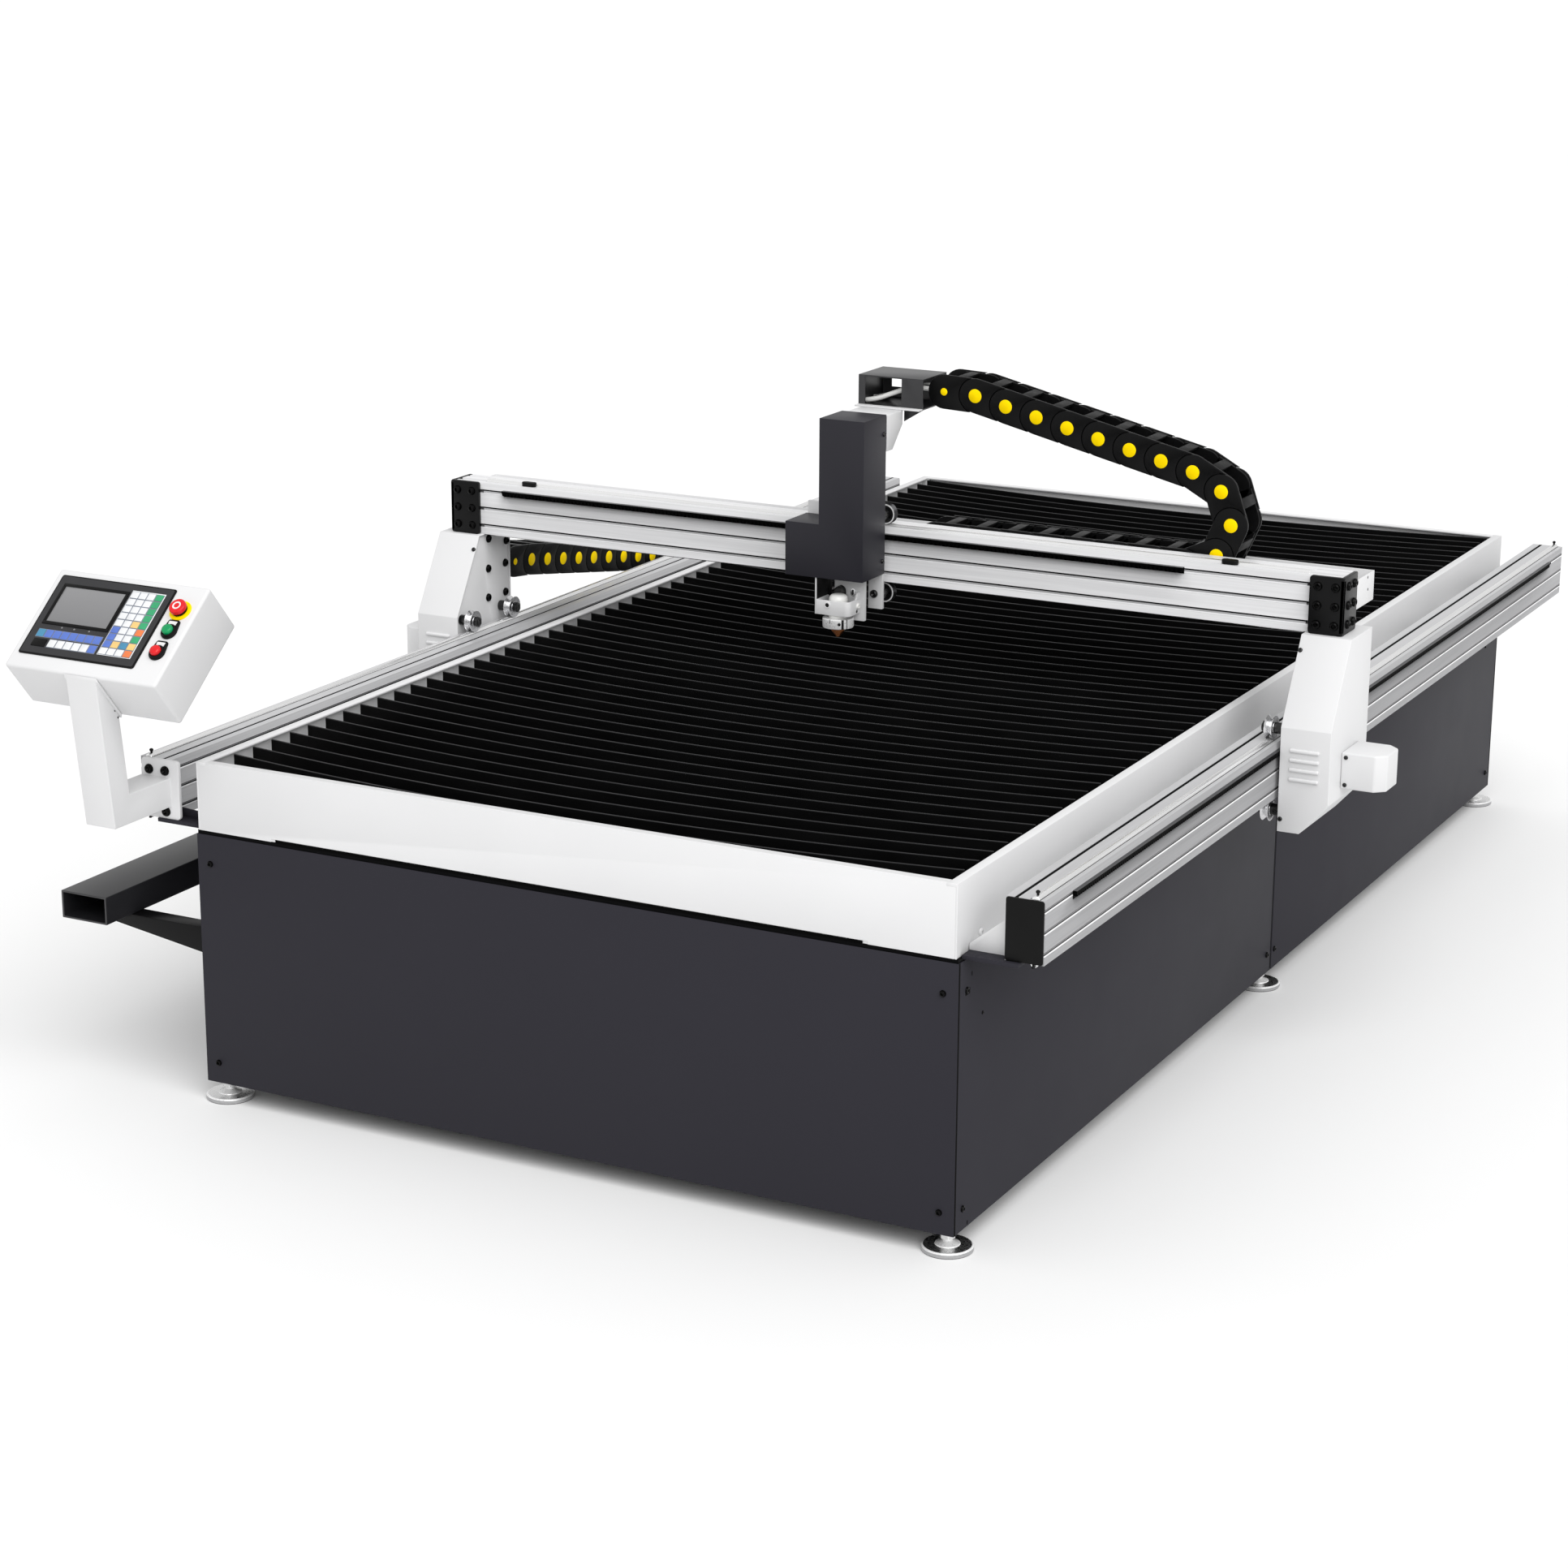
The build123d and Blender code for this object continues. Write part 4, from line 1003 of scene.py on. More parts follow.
@dataclass
class Console:
    """Tilted control box with its panel, keys and push buttons, on a leaning post."""

    coats: Finishes
    origin: Point = (-943.5, -11.4, 1071.0)
    tilt: float = 39.7
    width: float = 363.0
    face: float = 242.0
    depth: float = 120.0
    corner: float = 6.0
    bezel: Area = (-165.0, 113.0, 16.0, 210.0)
    display: Area = (-141.0, 5.0, 44.0, 130.0)
    keypad: Area = (17.0, 94.0, 34.0, 189.0)
    function_keys: Area = (-146.0, 10.0, 149.0, 191.0)
    estop: Flat = (145.0, 63.0)
    green: Flat = (147.0, 115.0)
    red: Flat = (147.0, 166.5)
    bezel_h: float = 3.0
    frame_w: float = 7.0
    lamps: Row = (-96.0, -66.0, -30.0)
    lamp_row: float = 141.0
    key_gap: float = 1.2
    plate_bolts: Flats = ((-955.0, 675.5), (-916.0, 676.0), (-917.0, 591.5), (-955.0, 591.5))
    plate_bolt: float = 10.0
    wall_plate: Area = (-974.0, -883.5, 576.5, 698.0)
    wall_corner: float = 8.0
    wall_y: Flat = (18.6, 26.9)
    post_right: float = -904.0
    post_dots: Flats = ((-181.3, 890.4), (-141.9, 838.7), (-133.6, 823.1))
    post_seam: tuple[Flat, Flat] = ((-175.1, 881.3), (-159.0, 860.8))
    place: Matrix = field(init=False)

    def __post_init__(self) -> None:
        """Set up the frame of the face: across, up the slope, and out of it."""
        turn = radians(self.tilt)
        axes = Matrix(((1, 0, 0), (0, cos(turn), sin(turn)), (0, -sin(turn), cos(turn)))).transposed()
        self.place = Matrix.Translation(self.origin) @ axes.to_4x4()

    def build(self) -> None:
        """Build and dress the console."""
        self.build_housing()
        self.build_bezel()
        self.build_keys()
        self.build_estop()
        self.build_push("green", self.green)
        self.build_push("red", self.red)
        self.build_push_bases()
        self.build_post()

    def slab(self, piece: Workpiece, area: Sequence[float], low: float, high: float, soft: float = 0.0,
             finish: Paint | None = None, corner: float = 0.0) -> None:
        """Add a flat piece on the face.

        Args:
            piece: Piece that takes it.
            area: Left, right, top and bottom, measured across from the middle and down from the top edge.
            low: Lower height over the face.
            high: Upper height.
            soft: Width of the edge rounding.
            finish: Finish, or none for the main one.
            corner: Radius of the corners.
        """
        a0, a1, b0, b1 = area
        square = [(a0, -b1), (a1, -b1), (a1, -b0), (a0, -b0)]
        outline = rounded(a0, a1, -b1, -b0, corner) if corner else square
        piece.prism(outline, Axis.Z, low, high, soft, 2, finish, self.place)

    def build_housing(self) -> None:
        """Build the box."""
        piece = Workpiece("console_box", self.coats.white)
        half = self.width / 2
        piece.box((-half, -self.face, -self.depth), (half, 0, 0), self.corner, 5, None, self.place)
        piece.hang("table", ["console_housing"])

    def build_bezel(self) -> None:
        """Build the dark panel with the display in its raised frame."""
        piece = Workpiece("control_panel", self.coats.bezel)
        h = self.bezel_h
        self.slab(piece, self.bezel, -1, h, 1.4, self.coats.cap, 5)
        a0, a1, b0, b1 = self.bezel
        self.slab(piece, (a0 + 3.5, a1 - 3.5, b0 + 3.5, b1 - 3.5), h - 0.5, h + 0.1, 0.0, None, 3)
        a0, a1, b0, b1 = self.display
        w = self.frame_w
        left, right, top, bottom = a0 - w, a1 + w, b0 - w, b1 + w
        bars = ((left, right, top, b0), (left, right, b1, bottom), (left, a0, b0, b1), (a1, right, b0, b1))
        for area in bars:
            self.slab(piece, area, h - 0.5, h + 1.8, 0.7, self.coats.cap)
        lamp = [(0, 0.7), (1.6, 0.6), (2.2, 0)]
        for a in self.lamps:
            piece.turned(lamp, (a, -self.lamp_row, h), Axis.Z, 12, self.coats.screen, self.place)
        piece.hang("table", ["control_bezel"])
        pane = Workpiece("display_pane", self.coats.screen)
        self.slab(pane, self.display, h - 0.5, h + 0.6, 0.2)
        pane.hang("table", ["display_screen"])

    def build_keys(self) -> None:
        """Build the plain film keys on their backing sheets."""
        white, blue, green = KeyColour.WHITE, KeyColour.BLUE, KeyColour.GREEN
        orange, amber, teal = KeyColour.ORANGE, KeyColour.AMBER, KeyColour.TEAL
        rows = [[white, white, white, green] for _ in range(4)]
        rows += [[white, white, amber, green], [blue, white, white, orange], [blue, white, white, green]]
        rows += [[blue, amber, teal, amber], [white, white, white, orange]]
        piece = Workpiece("film_keys", self.coats.key_back)
        h = self.bezel_h
        a0, a1, b0, b1 = self.keypad
        self.slab(piece, (a0 - 1, a1 + 2, b0 - 2, b1 + 1), h - 0.5, h + 0.2, 0.1, self.coats.key_white)
        self.key_block(piece, self.keypad, rows)
        a0, a1, b0, b1 = self.function_keys
        middle = (b0 + b1) / 2
        self.key_block(piece, (a0, a1, b0, middle - 1), [[teal] + 7 * [blue]])
        left = a0 + (a1 - a0) / 4
        self.key_block(piece, (left, a1, middle + 1, b1), [5 * [white] + [blue]])
        self.slab(piece, (a0 + 2, left - 5, middle + 3, b1), h - 0.5, h + 1.5, 0.6, self.coats.cap)
        piece.hang("table", ["keypad_keys"])

    def key_block(self, piece: Workpiece, area: Sequence[float], rows: list[list[KeyColour]]) -> None:
        """Add one block of keys.

        Args:
            piece: Piece that takes them.
            area: Left, right, top and bottom on the face.
            rows: Colours row by row from the top.
        """
        a0, a1, b0, b1 = area
        h = self.bezel_h
        self.slab(piece, area, h - 0.5, h + 0.3, 0.2)
        wide, tall, gap = (a1 - a0) / len(rows[0]), (b1 - b0) / len(rows), self.key_gap
        for i, row in enumerate(rows):
            for k, colour in enumerate(row):
                cell = (a0 + k * wide + gap, a0 + (k + 1) * wide - gap,
                        b0 + i * tall + gap, b0 + (i + 1) * tall - gap)
                self.slab(piece, cell, h, h + 1.2, 0.4, getattr(self.coats, colour.value))

    def build_estop(self) -> None:
        """Build the yellow disc and the red mushroom head with a plain pale ring."""
        at = (self.estop[0], -self.estop[1], 0)
        plate = Workpiece("estop_disc", self.coats.yellow)
        disc = [(12, -1), (23, -1), (23, 2), (22, 3), (12.5, 3), (12, 2.5)]
        plate.turned(disc, at, Axis.Z, 48, None, self.place)
        collar = [(0, 9), (15, 9), (15.8, 8.4), (15.8, 2.5)]
        plate.turned(collar, at, Axis.Z, 40, self.coats.cap, self.place)
        plate.hang("table", ["estop_plate"])
        head = Workpiece("estop_mushroom", self.coats.red)
        skirt = [(0, 15.6), (16.2, 15.6), (16.2, 9.4), (16.8, 9.4), (17.4, 10)]
        dome = [(17.4, 15.2), (16.6, 17.2), (14.6, 18.4), (11, 18.7), (0, 18.3)]
        head.turned(skirt + dome, at, Axis.Z, 48, None, self.place)
        ring = [(5.8, 18.3), (5.8, 18.75), (9.0, 18.9), (9.0, 18.4)]
        head.turned(ring, at, Axis.Z, 32, self.coats.lens, self.place)
        head.hang("estop", ["estop_cap"])

    def build_push(self, colour: str, at: Flat) -> None:
        """Build the round push button of one colour, green or red, at its place on the face."""
        piece = Workpiece(f"{colour}_push_button", getattr(self.coats, colour))
        profile = [(0, -8), (11.2, -8), (11.2, 11.4), (10.7, 13.4), (9.3, 14.9), (6.5, 15.7), (0, 16)]
        piece.turned(profile, (at[0], -at[1], 0), Axis.Z, 40, None, self.place)
        piece.hang(f"{colour}_push", [f"{colour}_button"])

    def build_push_bases(self) -> None:
        """Build the black pear-shaped bases with their pale lamps."""
        piece = Workpiece("push_button_bases", self.coats.cap)
        for a, b in (self.green, self.red):
            outline = arc((a, -b), 17, 172, 368, 24)
            outline += arc((a + 9, -b + 23.5), 4, 10, 90, 5) + arc((a - 9, -b + 23.5), 4, 90, 170, 5)
            piece.prism(outline, Axis.Z, -0.5, 5, 1.2, 3, None, self.place)
            ring = [(11.7, 4.6), (11.7, 8.2), (12.6, 8.8), (14.2, 8.4), (15.2, 7), (15.7, 4.6)]
            piece.turned(ring, (a, -b, 0), Axis.Z, 36, None, self.place)
            lamp = [(a + 9.6, -b + 23), (a - 9.6, -b + 23)] + arc((a, -b), 16, 122, 58, 10)
            piece.prism(lamp, Axis.Z, 4, 6.2, 0.5, 2, self.coats.lens, self.place)
        piece.hang("table", ["button_bases"])

    def build_post(self) -> None:
        """Build the post with its bolted wall plate, dark discs that paint the shade in the small holes in
        its side, and the seam in its side.
        """
        piece = Workpiece("console_post", self.coats.white)
        piece.node("console_arm", 2.0, 3)
        piece.prism(rounded(*self.wall_plate, self.wall_corner), Axis.Y, *self.wall_y, 1.2, 3)
        for x, z in self.plate_bolts:
            button_head(piece, (x, self.wall_y[0], z), FRONT, self.plate_bolt, self.coats.bolt)
        right = self.post_right
        # Dark discs that paint the shade in the small holes.
        for y, z in self.post_dots:
            piece.turned([(0, 0.3), (2.2, 0.3), (2.2, -1)], (right, y, z), Axis.X, 12, self.coats.bezel)
        (y0, z0), (y1, z1) = self.post_seam
        seam = [(y0, z0), (y0 + 1.4, z0 + 1), (y1 + 1.4, z1 + 1), (y1, z1)]
        piece.prism(seam, Axis.X, right - 1, right + 0.3, finish=self.coats.bezel)
        piece.hang("table", ["console_arm"])


@dataclass(frozen=True)
class VeeRoller:
    """A grooved roller on a bushed axle that runs on a round rod."""

    rim: float = 25.0
    apex: float = 16.6
    half: float = 8.4
    bore: float = 8.8
    bush: float = 12.0

    def wheel(self, piece: Workpiece, at: Point, axis: Axis) -> None:
        """Add the grooved wheel with its bearing faces."""
        face = [(self.bore, 0), (12.5, 0), (12.5, 0.7), (17, 0.7), (17.4, 0)]
        face += [(self.rim - 0.8, 0), (self.rim, 0.8)]
        near = [(r, inward - self.half) for r, inward in face]
        far = [(r, self.half - inward) for r, inward in reversed(face)]
        piece.turned(near + [(self.apex, 0)] + far + [near[0]], at, axis, 40)

    def axle(self, piece: Workpiece, at: Point, axis: Axis, foot: float, tip: float) -> None:
        """Add the pin, the bush towards the plate and the nut at the free end.

        Args:
            piece: Piece that takes them.
            at: Middle of the roller.
            axis: Direction of the axle.
            foot: Signed distance to the plate.
            tip: Signed distance to the end of the nut.
        """
        side = 1 if foot > 0 else -1
        clear = side * (self.half + 0.5)
        low, high = sorted((foot, tip))
        piece.turned(bar_profile(self.bore - 1, low + 1, high - 1, 0.5), at, axis, 20)
        low, high = sorted((clear, foot))
        piece.turned(bar_profile(self.bush, low, high, 1.0), at, axis, 32)
        low, high = sorted((tip + side * 2.5, -clear))
        spot = Matrix.Translation(at) @ toward(axis)
        piece.prism(arc((0, 0), self.bush, 0, 300, 5), Axis.Z, low, high, 0.8, 2, None, spot)


@dataclass
class Gantry:
    """Beam, legs, drives and rollers that travel along the table."""

    coats: Finishes
    roller: VeeRoller = VeeRoller()
    half: float = 990.0
    beam_y: Flat = (1322.0, 1397.0)
    top_lines: Row = (1329.0, 1354.0, 1364.0)
    rod_y: float = 1341.0
    rod_r: float = 8.0
    rods: Flats = ((1023.5, 990.0), (907.5, 980.0))
    bracket_face: float = 1312.0
    bracket_bolt_x: Flat = (1016.0, 1054.0)
    bracket_bolt_z: Row = (925.5, 965.5, 1005.5)
    leg_face: float = 994.0
    bracket: Flats = ((998.0, 1072.0), (1312.0, 1397.0), (905.5, 1026.5))
    bracket_t: Flat = (8.0, 10.0)
    bracket_corner: float = 6.0
    flange_bolt_y: Flat = (1342.0, 1377.0)
    leg_bolts: Flats = ((1344, 890), (1341, 820), (1339, 752), (1414, 820), (1413, 751), (1419, 872))
    bolt: float = 9.5
    rail_rod_x: float = 962.0
    axle_foot: float = 32.0
    axle_tip: float = 20.0
    roller_y: Flat = (1222.0, 1390.0)
    roller_z: Flat = (723.3, 550.7)
    louvre_x: Flat = (1011.0, 1074.5)
    louvre_top: float = 687.2
    louvre_step: float = 20.2
    louvre_y: float = 1200.5
    louvres: int = 4
    hood_x: Flat = (990.0, 1097.0)
    hood_line: Flats = ((1203, 511), (1200, 732), (1300, 905), (1432, 905), (1432, 511))
    hood_cut: tuple[Flat, Flat] = ((1037.0, 511.0), (1099.0, 580.0))
    hood_sheet: float = 2.5
    hood_open: float = 2000.0
    hood_screw: float = 5.0
    hood_screws: tuple[Point, Point] = ((996.0, 1202.6, 538.0), (995.0, 1283.0, 875.6))
    hood_roof: Point = (0.0, -0.866, 0.5)
    drive_corner: Flat = (22.0, 20.0)
    drive_screw: float = 4.5
    stop_x: Flat = (-874.0, 818.0)
    stop_half: float = 18.0
    stop_corner: float = 7.9
    stop_ahead: float = 7.0
    stop_sink: float = 6.0
    top_slot: Point = (976.0, 1354.0, 1025.5)
    tray_holes: Flats = ((1462.0, 1000.0), (1466.0, 974.0))
    rack_back: float = 0.8
    rack_shade_reach: float = 3.0

    def build(self) -> None:
        """Build and dress the gantry."""
        coats = self.coats
        softened("beam_extrusion", "gantry_beam", "gantry", coats.beam, 0.6)
        softened("leg_side_plates", "leg_plates", "gantry", coats.white, 0.8)
        softened("lengthwise_pinions", "y_pinions", "y_drive_pinions", coats.steel, 0.25)
        dress("y_motors", coats.black)
        self.build_rods()
        self.build_slots()
        self.build_chain_tray()
        self.build_rack()
        self.build_brackets()
        self.build_bolts()
        self.build_stops()
        self.build_leg_covers()
        self.build_motor_covers()
        self.build_rollers()

    def build_rods(self) -> None:
        """Build the two ground rods of the beam."""
        piece = Workpiece("beam_rods", self.coats.rod_x)
        for z, reach in self.rods:
            piece.turned(bar_profile(self.rod_r, -reach, reach, 1.0), (0, self.rod_y, z), Axis.X, 32)
        piece.hang("gantry", ["beam_guide_rods"])

    def build_slots(self) -> None:
        """Build the painted shade and highlight lines of the slots in the beam, a strip that fills its top
        slot, darker lines along its top as painted shade, and a dark patch as painted shade in the small
        opening in its top.
        """
        coats, half = self.coats, self.half
        piece = Workpiece("beam_slot_flanks", coats.beam_slot_shade)
        lines = SlotLines(coats, coats.beam_slot_shade, Axis.X, (-half, half), (-3.2, 0.6), (-5.8, -3.4))
        for face, out in ((self.beam_y[0], -1), (self.beam_y[1], 1)):
            for z in self.bracket_bolt_z:
                lines.add(piece, face, out, z)
        x, y, z = self.top_slot
        y0 = self.beam_y[1] - 20
        piece.box((-half, y0 - 3.5, z - 1.2), (half, y0 + 3.5, z - 0.3), finish=coats.beam)
        # Lines along the top in the shaded slot finish: painted shade.
        for line in self.top_lines:
            piece.box((-half, line - 0.4, z - 1), (half, line + 0.4, z + 0.08))
        # Dark patch that paints the shade in the small opening.
        opening = rounded(x - 8, x + 8, y - 3.5, y + 3.5, 2)
        piece.prism(opening, Axis.Z, z - 1, z + 0.15, finish=coats.oxide)
        piece.hang("gantry")

    def build_chain_tray(self) -> None:
        """Build the white tray under the crosswise chain, with dark discs that paint the shade in the holes
        in its ends.
        """
        piece = Workpiece("beam_chain_tray", self.coats.white)
        piece.node("x_chain_tray", 0.7)
        low, high = extent("x_chain_tray")
        # Dark discs that paint the shade in the holes.
        hole = [(0, 0.15), (3, 0.15), (3, -1)]
        for y, z in self.tray_holes:
            for x, facing in ((high.x, Axis.X), (low.x, LEFT)):
                piece.turned(hole, (x, y, z), facing, 16, self.coats.bezel)
        piece.hang("gantry", ["x_chain_tray"])

    def build_rack(self) -> None:
        """Build the toothed rack along the beam."""
        low, high = extent("x_rack")
        piece = Workpiece("crosswise_rack", self.coats.rack)
        back = (high.y - self.rack_back, high.y)
        add_rack(piece, Axis.Y, low, high, back, self.rack_shade_reach, self.coats.satin)
        piece.hang("gantry", ["x_rack"])

    def build_brackets(self) -> None:
        """Build the angle brackets at the beam's ends, with rounded corners."""
        piece = Workpiece("beam_brackets", self.coats.black)
        (x0, x1), (y0, y1), (z0, z1) = self.bracket
        side_t, front_t = self.bracket_t
        for side in (-1, 1):
            front = rounded(*sorted((side * x0, side * x1)), z0, z1, self.bracket_corner)
            piece.prism(front, Axis.Y, y0, y0 + front_t, 1.2)
            flank = rounded(y0, y1, z0, z1, self.bracket_corner)
            piece.prism(flank, Axis.X, *sorted((side * (x1 - side_t), side * x1)), 1.2)
        piece.hang("gantry", ["beam_end_brackets"])

    def build_bolts(self) -> None:
        """Build the bolts in the beam brackets and the leg plates."""
        piece = Workpiece("beam_and_leg_bolts", self.coats.bolt)
        for side in (-1, 1):
            for x in self.bracket_bolt_x:
                for z in self.bracket_bolt_z:
                    button_head(piece, (side * x, self.bracket_face, z), FRONT, self.bolt)
            for y in self.flange_bolt_y:
                for z in self.bracket_bolt_z:
                    button_head(piece, (side * self.bracket[0][1], y, z), Vector((side, 0, 0)), self.bolt)
            for y, z in self.leg_bolts:
                button_head(piece, (side * self.leg_face, y, z), Vector((-side, 0, 0)), self.bolt)
        piece.hang("gantry", ["gantry_bolts"])

    def build_stops(self) -> None:
        """Build the oval rubber stops over the upper rod."""
        low, high = extent("beam_stops")
        piece = Workpiece("beam_rubber_stops", self.coats.cap)
        half, front, back = self.stop_half, low.y - self.stop_ahead, high.y - self.stop_ahead
        for x in self.stop_x:
            outline = rounded(x - half, x + half, front, back, self.stop_corner, 6)
            piece.prism(outline, Axis.Z, low.z - self.stop_sink, high.z - self.stop_sink + 1, 2.0, 3)
        piece.hang("gantry", ["beam_stops"])

    def build_leg_covers(self) -> None:
        """Build the folded leg covers with rounded louvres and small screws."""
        piece = Workpiece("leg_hoods", self.coats.white)
        for side in (-1, 1):
            self.add_hood(piece, side)
            x0, x1 = sorted((side * self.louvre_x[0], side * self.louvre_x[1]))
            for i in range(self.louvres):
                z = self.louvre_top - self.louvre_step * i
                piece.box((x0, self.louvre_y - 5, z - 4.6), (x1, self.louvre_y + 3, z + 3.4), 3.2, 4)
            for (x, y, z), facing in zip(self.hood_screws, (FRONT, Vector(self.hood_roof))):
                button_head(piece, (side * x, y, z), facing, self.hood_screw, self.coats.oxide)
        piece.hang("gantry", ["leg_covers"])

    def add_hood(self, piece: Workpiece, side: int) -> None:
        """Add one leg cover of thin sheet, open towards the table and cut off at its lower outer edge."""
        part = bmesh.new()
        inner, outer = (side * x for x in self.hood_x)
        face = part.faces.new([part.verts.new((outer, y, z)) for y, z in self.hood_line])
        pulled = bmesh.ops.extrude_face_region(part, geom=[face], use_keep_orig=True)["geom"]
        moved = [item for item in pulled if isinstance(item, bmesh.types.BMVert)]
        bmesh.ops.translate(part, vec=(inner - outer, 0, 0), verts=moved)
        (x0, z0), (x1, z1) = self.hood_cut
        geom = part.verts[:] + part.edges[:] + part.faces[:]
        bmesh.ops.bisect_plane(part, geom=geom, plane_co=(side * x0, 0, z0),
                               plane_no=(side * (z1 - z0), 0, x0 - x1), clear_outer=True)
        bmesh.ops.holes_fill(part, edges=part.edges, sides=0)
        bmesh.ops.recalc_face_normals(part, faces=part.faces)
        soften(part, 1.4, 3)
        least = self.hood_open
        middle = [f for f in part.faces
                  if f.calc_area() > least and all(abs(v.co.x - inner) < 0.5 for v in f.verts)]
        bmesh.ops.delete(part, geom=middle, context="FACES")
        bmesh.ops.solidify(part, geom=part.faces[:], thickness=self.hood_sheet)
        piece.take(part)

    def build_motor_covers(self) -> None:
        """Build the rounded covers over the drive motors."""
        low, high = extent("motor_covers")
        piece = Workpiece("drive_hoods", self.coats.white)
        leg_out = self.hood_x[1]
        wide, deep = self.drive_corner
        for side in (-1, 1):
            outline = [(leg_out, low.y), (high.x - wide, low.y), (high.x, low.y + deep)]
            outline += [(high.x, high.y - deep), (high.x - wide, high.y), (leg_out, high.y)]
            piece.prism([(side * x, y) for x, y in outline], Axis.Z, low.z, high.z, 3.5, 3)
            for z in (high.z - 10, low.z + 9):
                spot = (side * (leg_out + 10), low.y, z)
                button_head(piece, spot, FRONT, self.drive_screw, self.coats.oxide)
        piece.hang("gantry", ["motor_covers"])

    def build_rollers(self) -> None:
        """Build the rollers on the rail rods and their axles."""
        axles = Workpiece("leg_roller_axles", self.coats.oxide)
        for row, z in zip(("upper", "lower"), self.roller_z):
            for end, y in zip(("front", "rear"), self.roller_y):
                pair = Workpiece(f"{row}_{end}_vee_rollers", self.coats.steel)
                for side in (-1, 1):
                    at = (side * self.rail_rod_x, y, z)
                    self.roller.wheel(pair, at, Axis.X)
                    self.roller.axle(axles, at, Axis.X, side * self.axle_foot, -side * self.axle_tip)
                pair.hang(f"rollers_{row}_{end}", [f"{row}_{end}_rollers"])
        axles.hang("gantry", ["roller_axles"])


@dataclass
class Head:
    """Carriage with its cover, drive and chain box, that travels along the beam."""

    coats: Finishes
    roller: VeeRoller = VeeRoller(rim=22.8)
    roller_x: Flat = (-92.0, 28.0)
    roller_z: Flat = (1051.8, 879.2)
    rod_y: float = 1341.0
    axle_tip: float = 18.0
    plate_y: Flat = (1283.0, 1293.0)
    dark_ear: Area = (-113.4, -78.6, 852.6, 931.0)
    bolt_z: float = 885.5
    hood_screws: Flats = ((1279.0, 1236.0), (1279.0, 960.0))
    lip_z: Flat = (1275.2, 1278.4)
    lip_back: float = 1379.6
    cable_y: Row = (1402.0, 1416.0, 1440.0)
    cable_r: float = 5.5

    def build(self) -> None:
        """Build and dress the head."""
        coats = self.coats
        softened("crosswise_pinion", "x_pinion", "x_drive_pinion", coats.steel, 0.25)
        softened("chain_arm_folded", "chain_arm", "carriage", coats.white, 1.2)
        dress("x_motor", coats.black)
        dress("lifter_frame", coats.rod_x)
        dress("lifter_screw", coats.steel)
        self.build_plate()
        self.build_cover()
        self.build_rollers()
        self.build_chain_box()
        self.build_cables()

    def build_plate(self) -> None:
        """Build the back plate with its dark left ear and the bolts of the lower rollers."""
        piece = Workpiece("carriage_back_plate", self.coats.white)
        piece.node("carriage_plate", 1.0)
        x0, x1, z0, z1 = self.dark_ear
        front, back = self.plate_y
        piece.box((x0, front - 0.4, z0), (x1, back + 0.4, z1), 1.0, 2, self.coats.black)
        for x in self.roller_x:
            button_head(piece, (x, front - 0.3, self.bolt_z), FRONT, 9.0, self.coats.oxide)
        piece.hang("carriage", ["carriage_plate"])

    def build_cover(self) -> None:
        """Build the cover with its screws."""
        piece = Workpiece("head_hood", self.coats.hood)
        piece.node("head_cover", 0.9, 3)
        _, high = extent("head_cover")
        for y, z in self.hood_screws:
            button_head(piece, (high.x, y, z), Axis.X, 5.0, self.coats.oxide)
        piece.hang("carriage", ["head_cover"])

    def build_chain_box(self) -> None:
        """Build the folded box at the chain's end, with the pale lip that lies on the arm."""
        piece = Workpiece("chain_box", self.coats.satin)
        piece.node("chain_bracket", 0.7)
        low, high = extent("chain_bracket")
        z0, z1 = self.lip_z
        near, far = (low.x - 0.2, low.y - 0.2, z0), (high.x + 0.2, self.lip_back, z1)
        piece.box(near, far, 0.6, 2, self.coats.white)
        piece.hang("carriage", ["chain_bracket"])

    def build_rollers(self) -> None:
        """Build the rollers on the beam rods and their axles."""
        axles = Workpiece("head_roller_axles", self.coats.oxide)
        rim = [(19.2, 8.3), (19.2, 8.6), (21.8, 8.6), (22.7, 7.6)]
        for row, z in zip(("upper", "lower"), self.roller_z):
            for end, x in zip(("left", "right"), self.roller_x):
                wheel = Workpiece(f"{row}_{end}_head_roller", self.coats.blued)
                at = (x, self.rod_y, z)
                self.roller.wheel(wheel, at, Axis.Y)
                for facing in (FRONT, Axis.Y):
                    wheel.turned(rim, at, facing, 40, self.coats.nickel)
                wheel.hang(f"roller_head_{row}_{end}", [f"carriage_{row}_{end}_roller"])
                self.roller.axle(axles, at, Axis.Y, self.plate_y[1] - self.rod_y, self.axle_tip)
        axles.hang("carriage", ["carriage_axles"])

    def build_cables(self) -> None:
        """Build the cables that rise from the box's floor into the chain."""
        piece = Workpiece("chain_cables", self.coats.hose)
        coats = (self.coats.torch, self.coats.hose, self.coats.torch)
        for y, finish in zip(self.cable_y, coats):
            route = [(-54, y, 1284), (-30, y, 1287), (10, y + 4, 1304), (50, y + 10, 1318)]
            route += [(95, y + 16, 1318), (190, y + 16, 1302)]
            piece.cable(route, self.cable_r, finish)
        piece.hang("carriage", ["x_chain"])


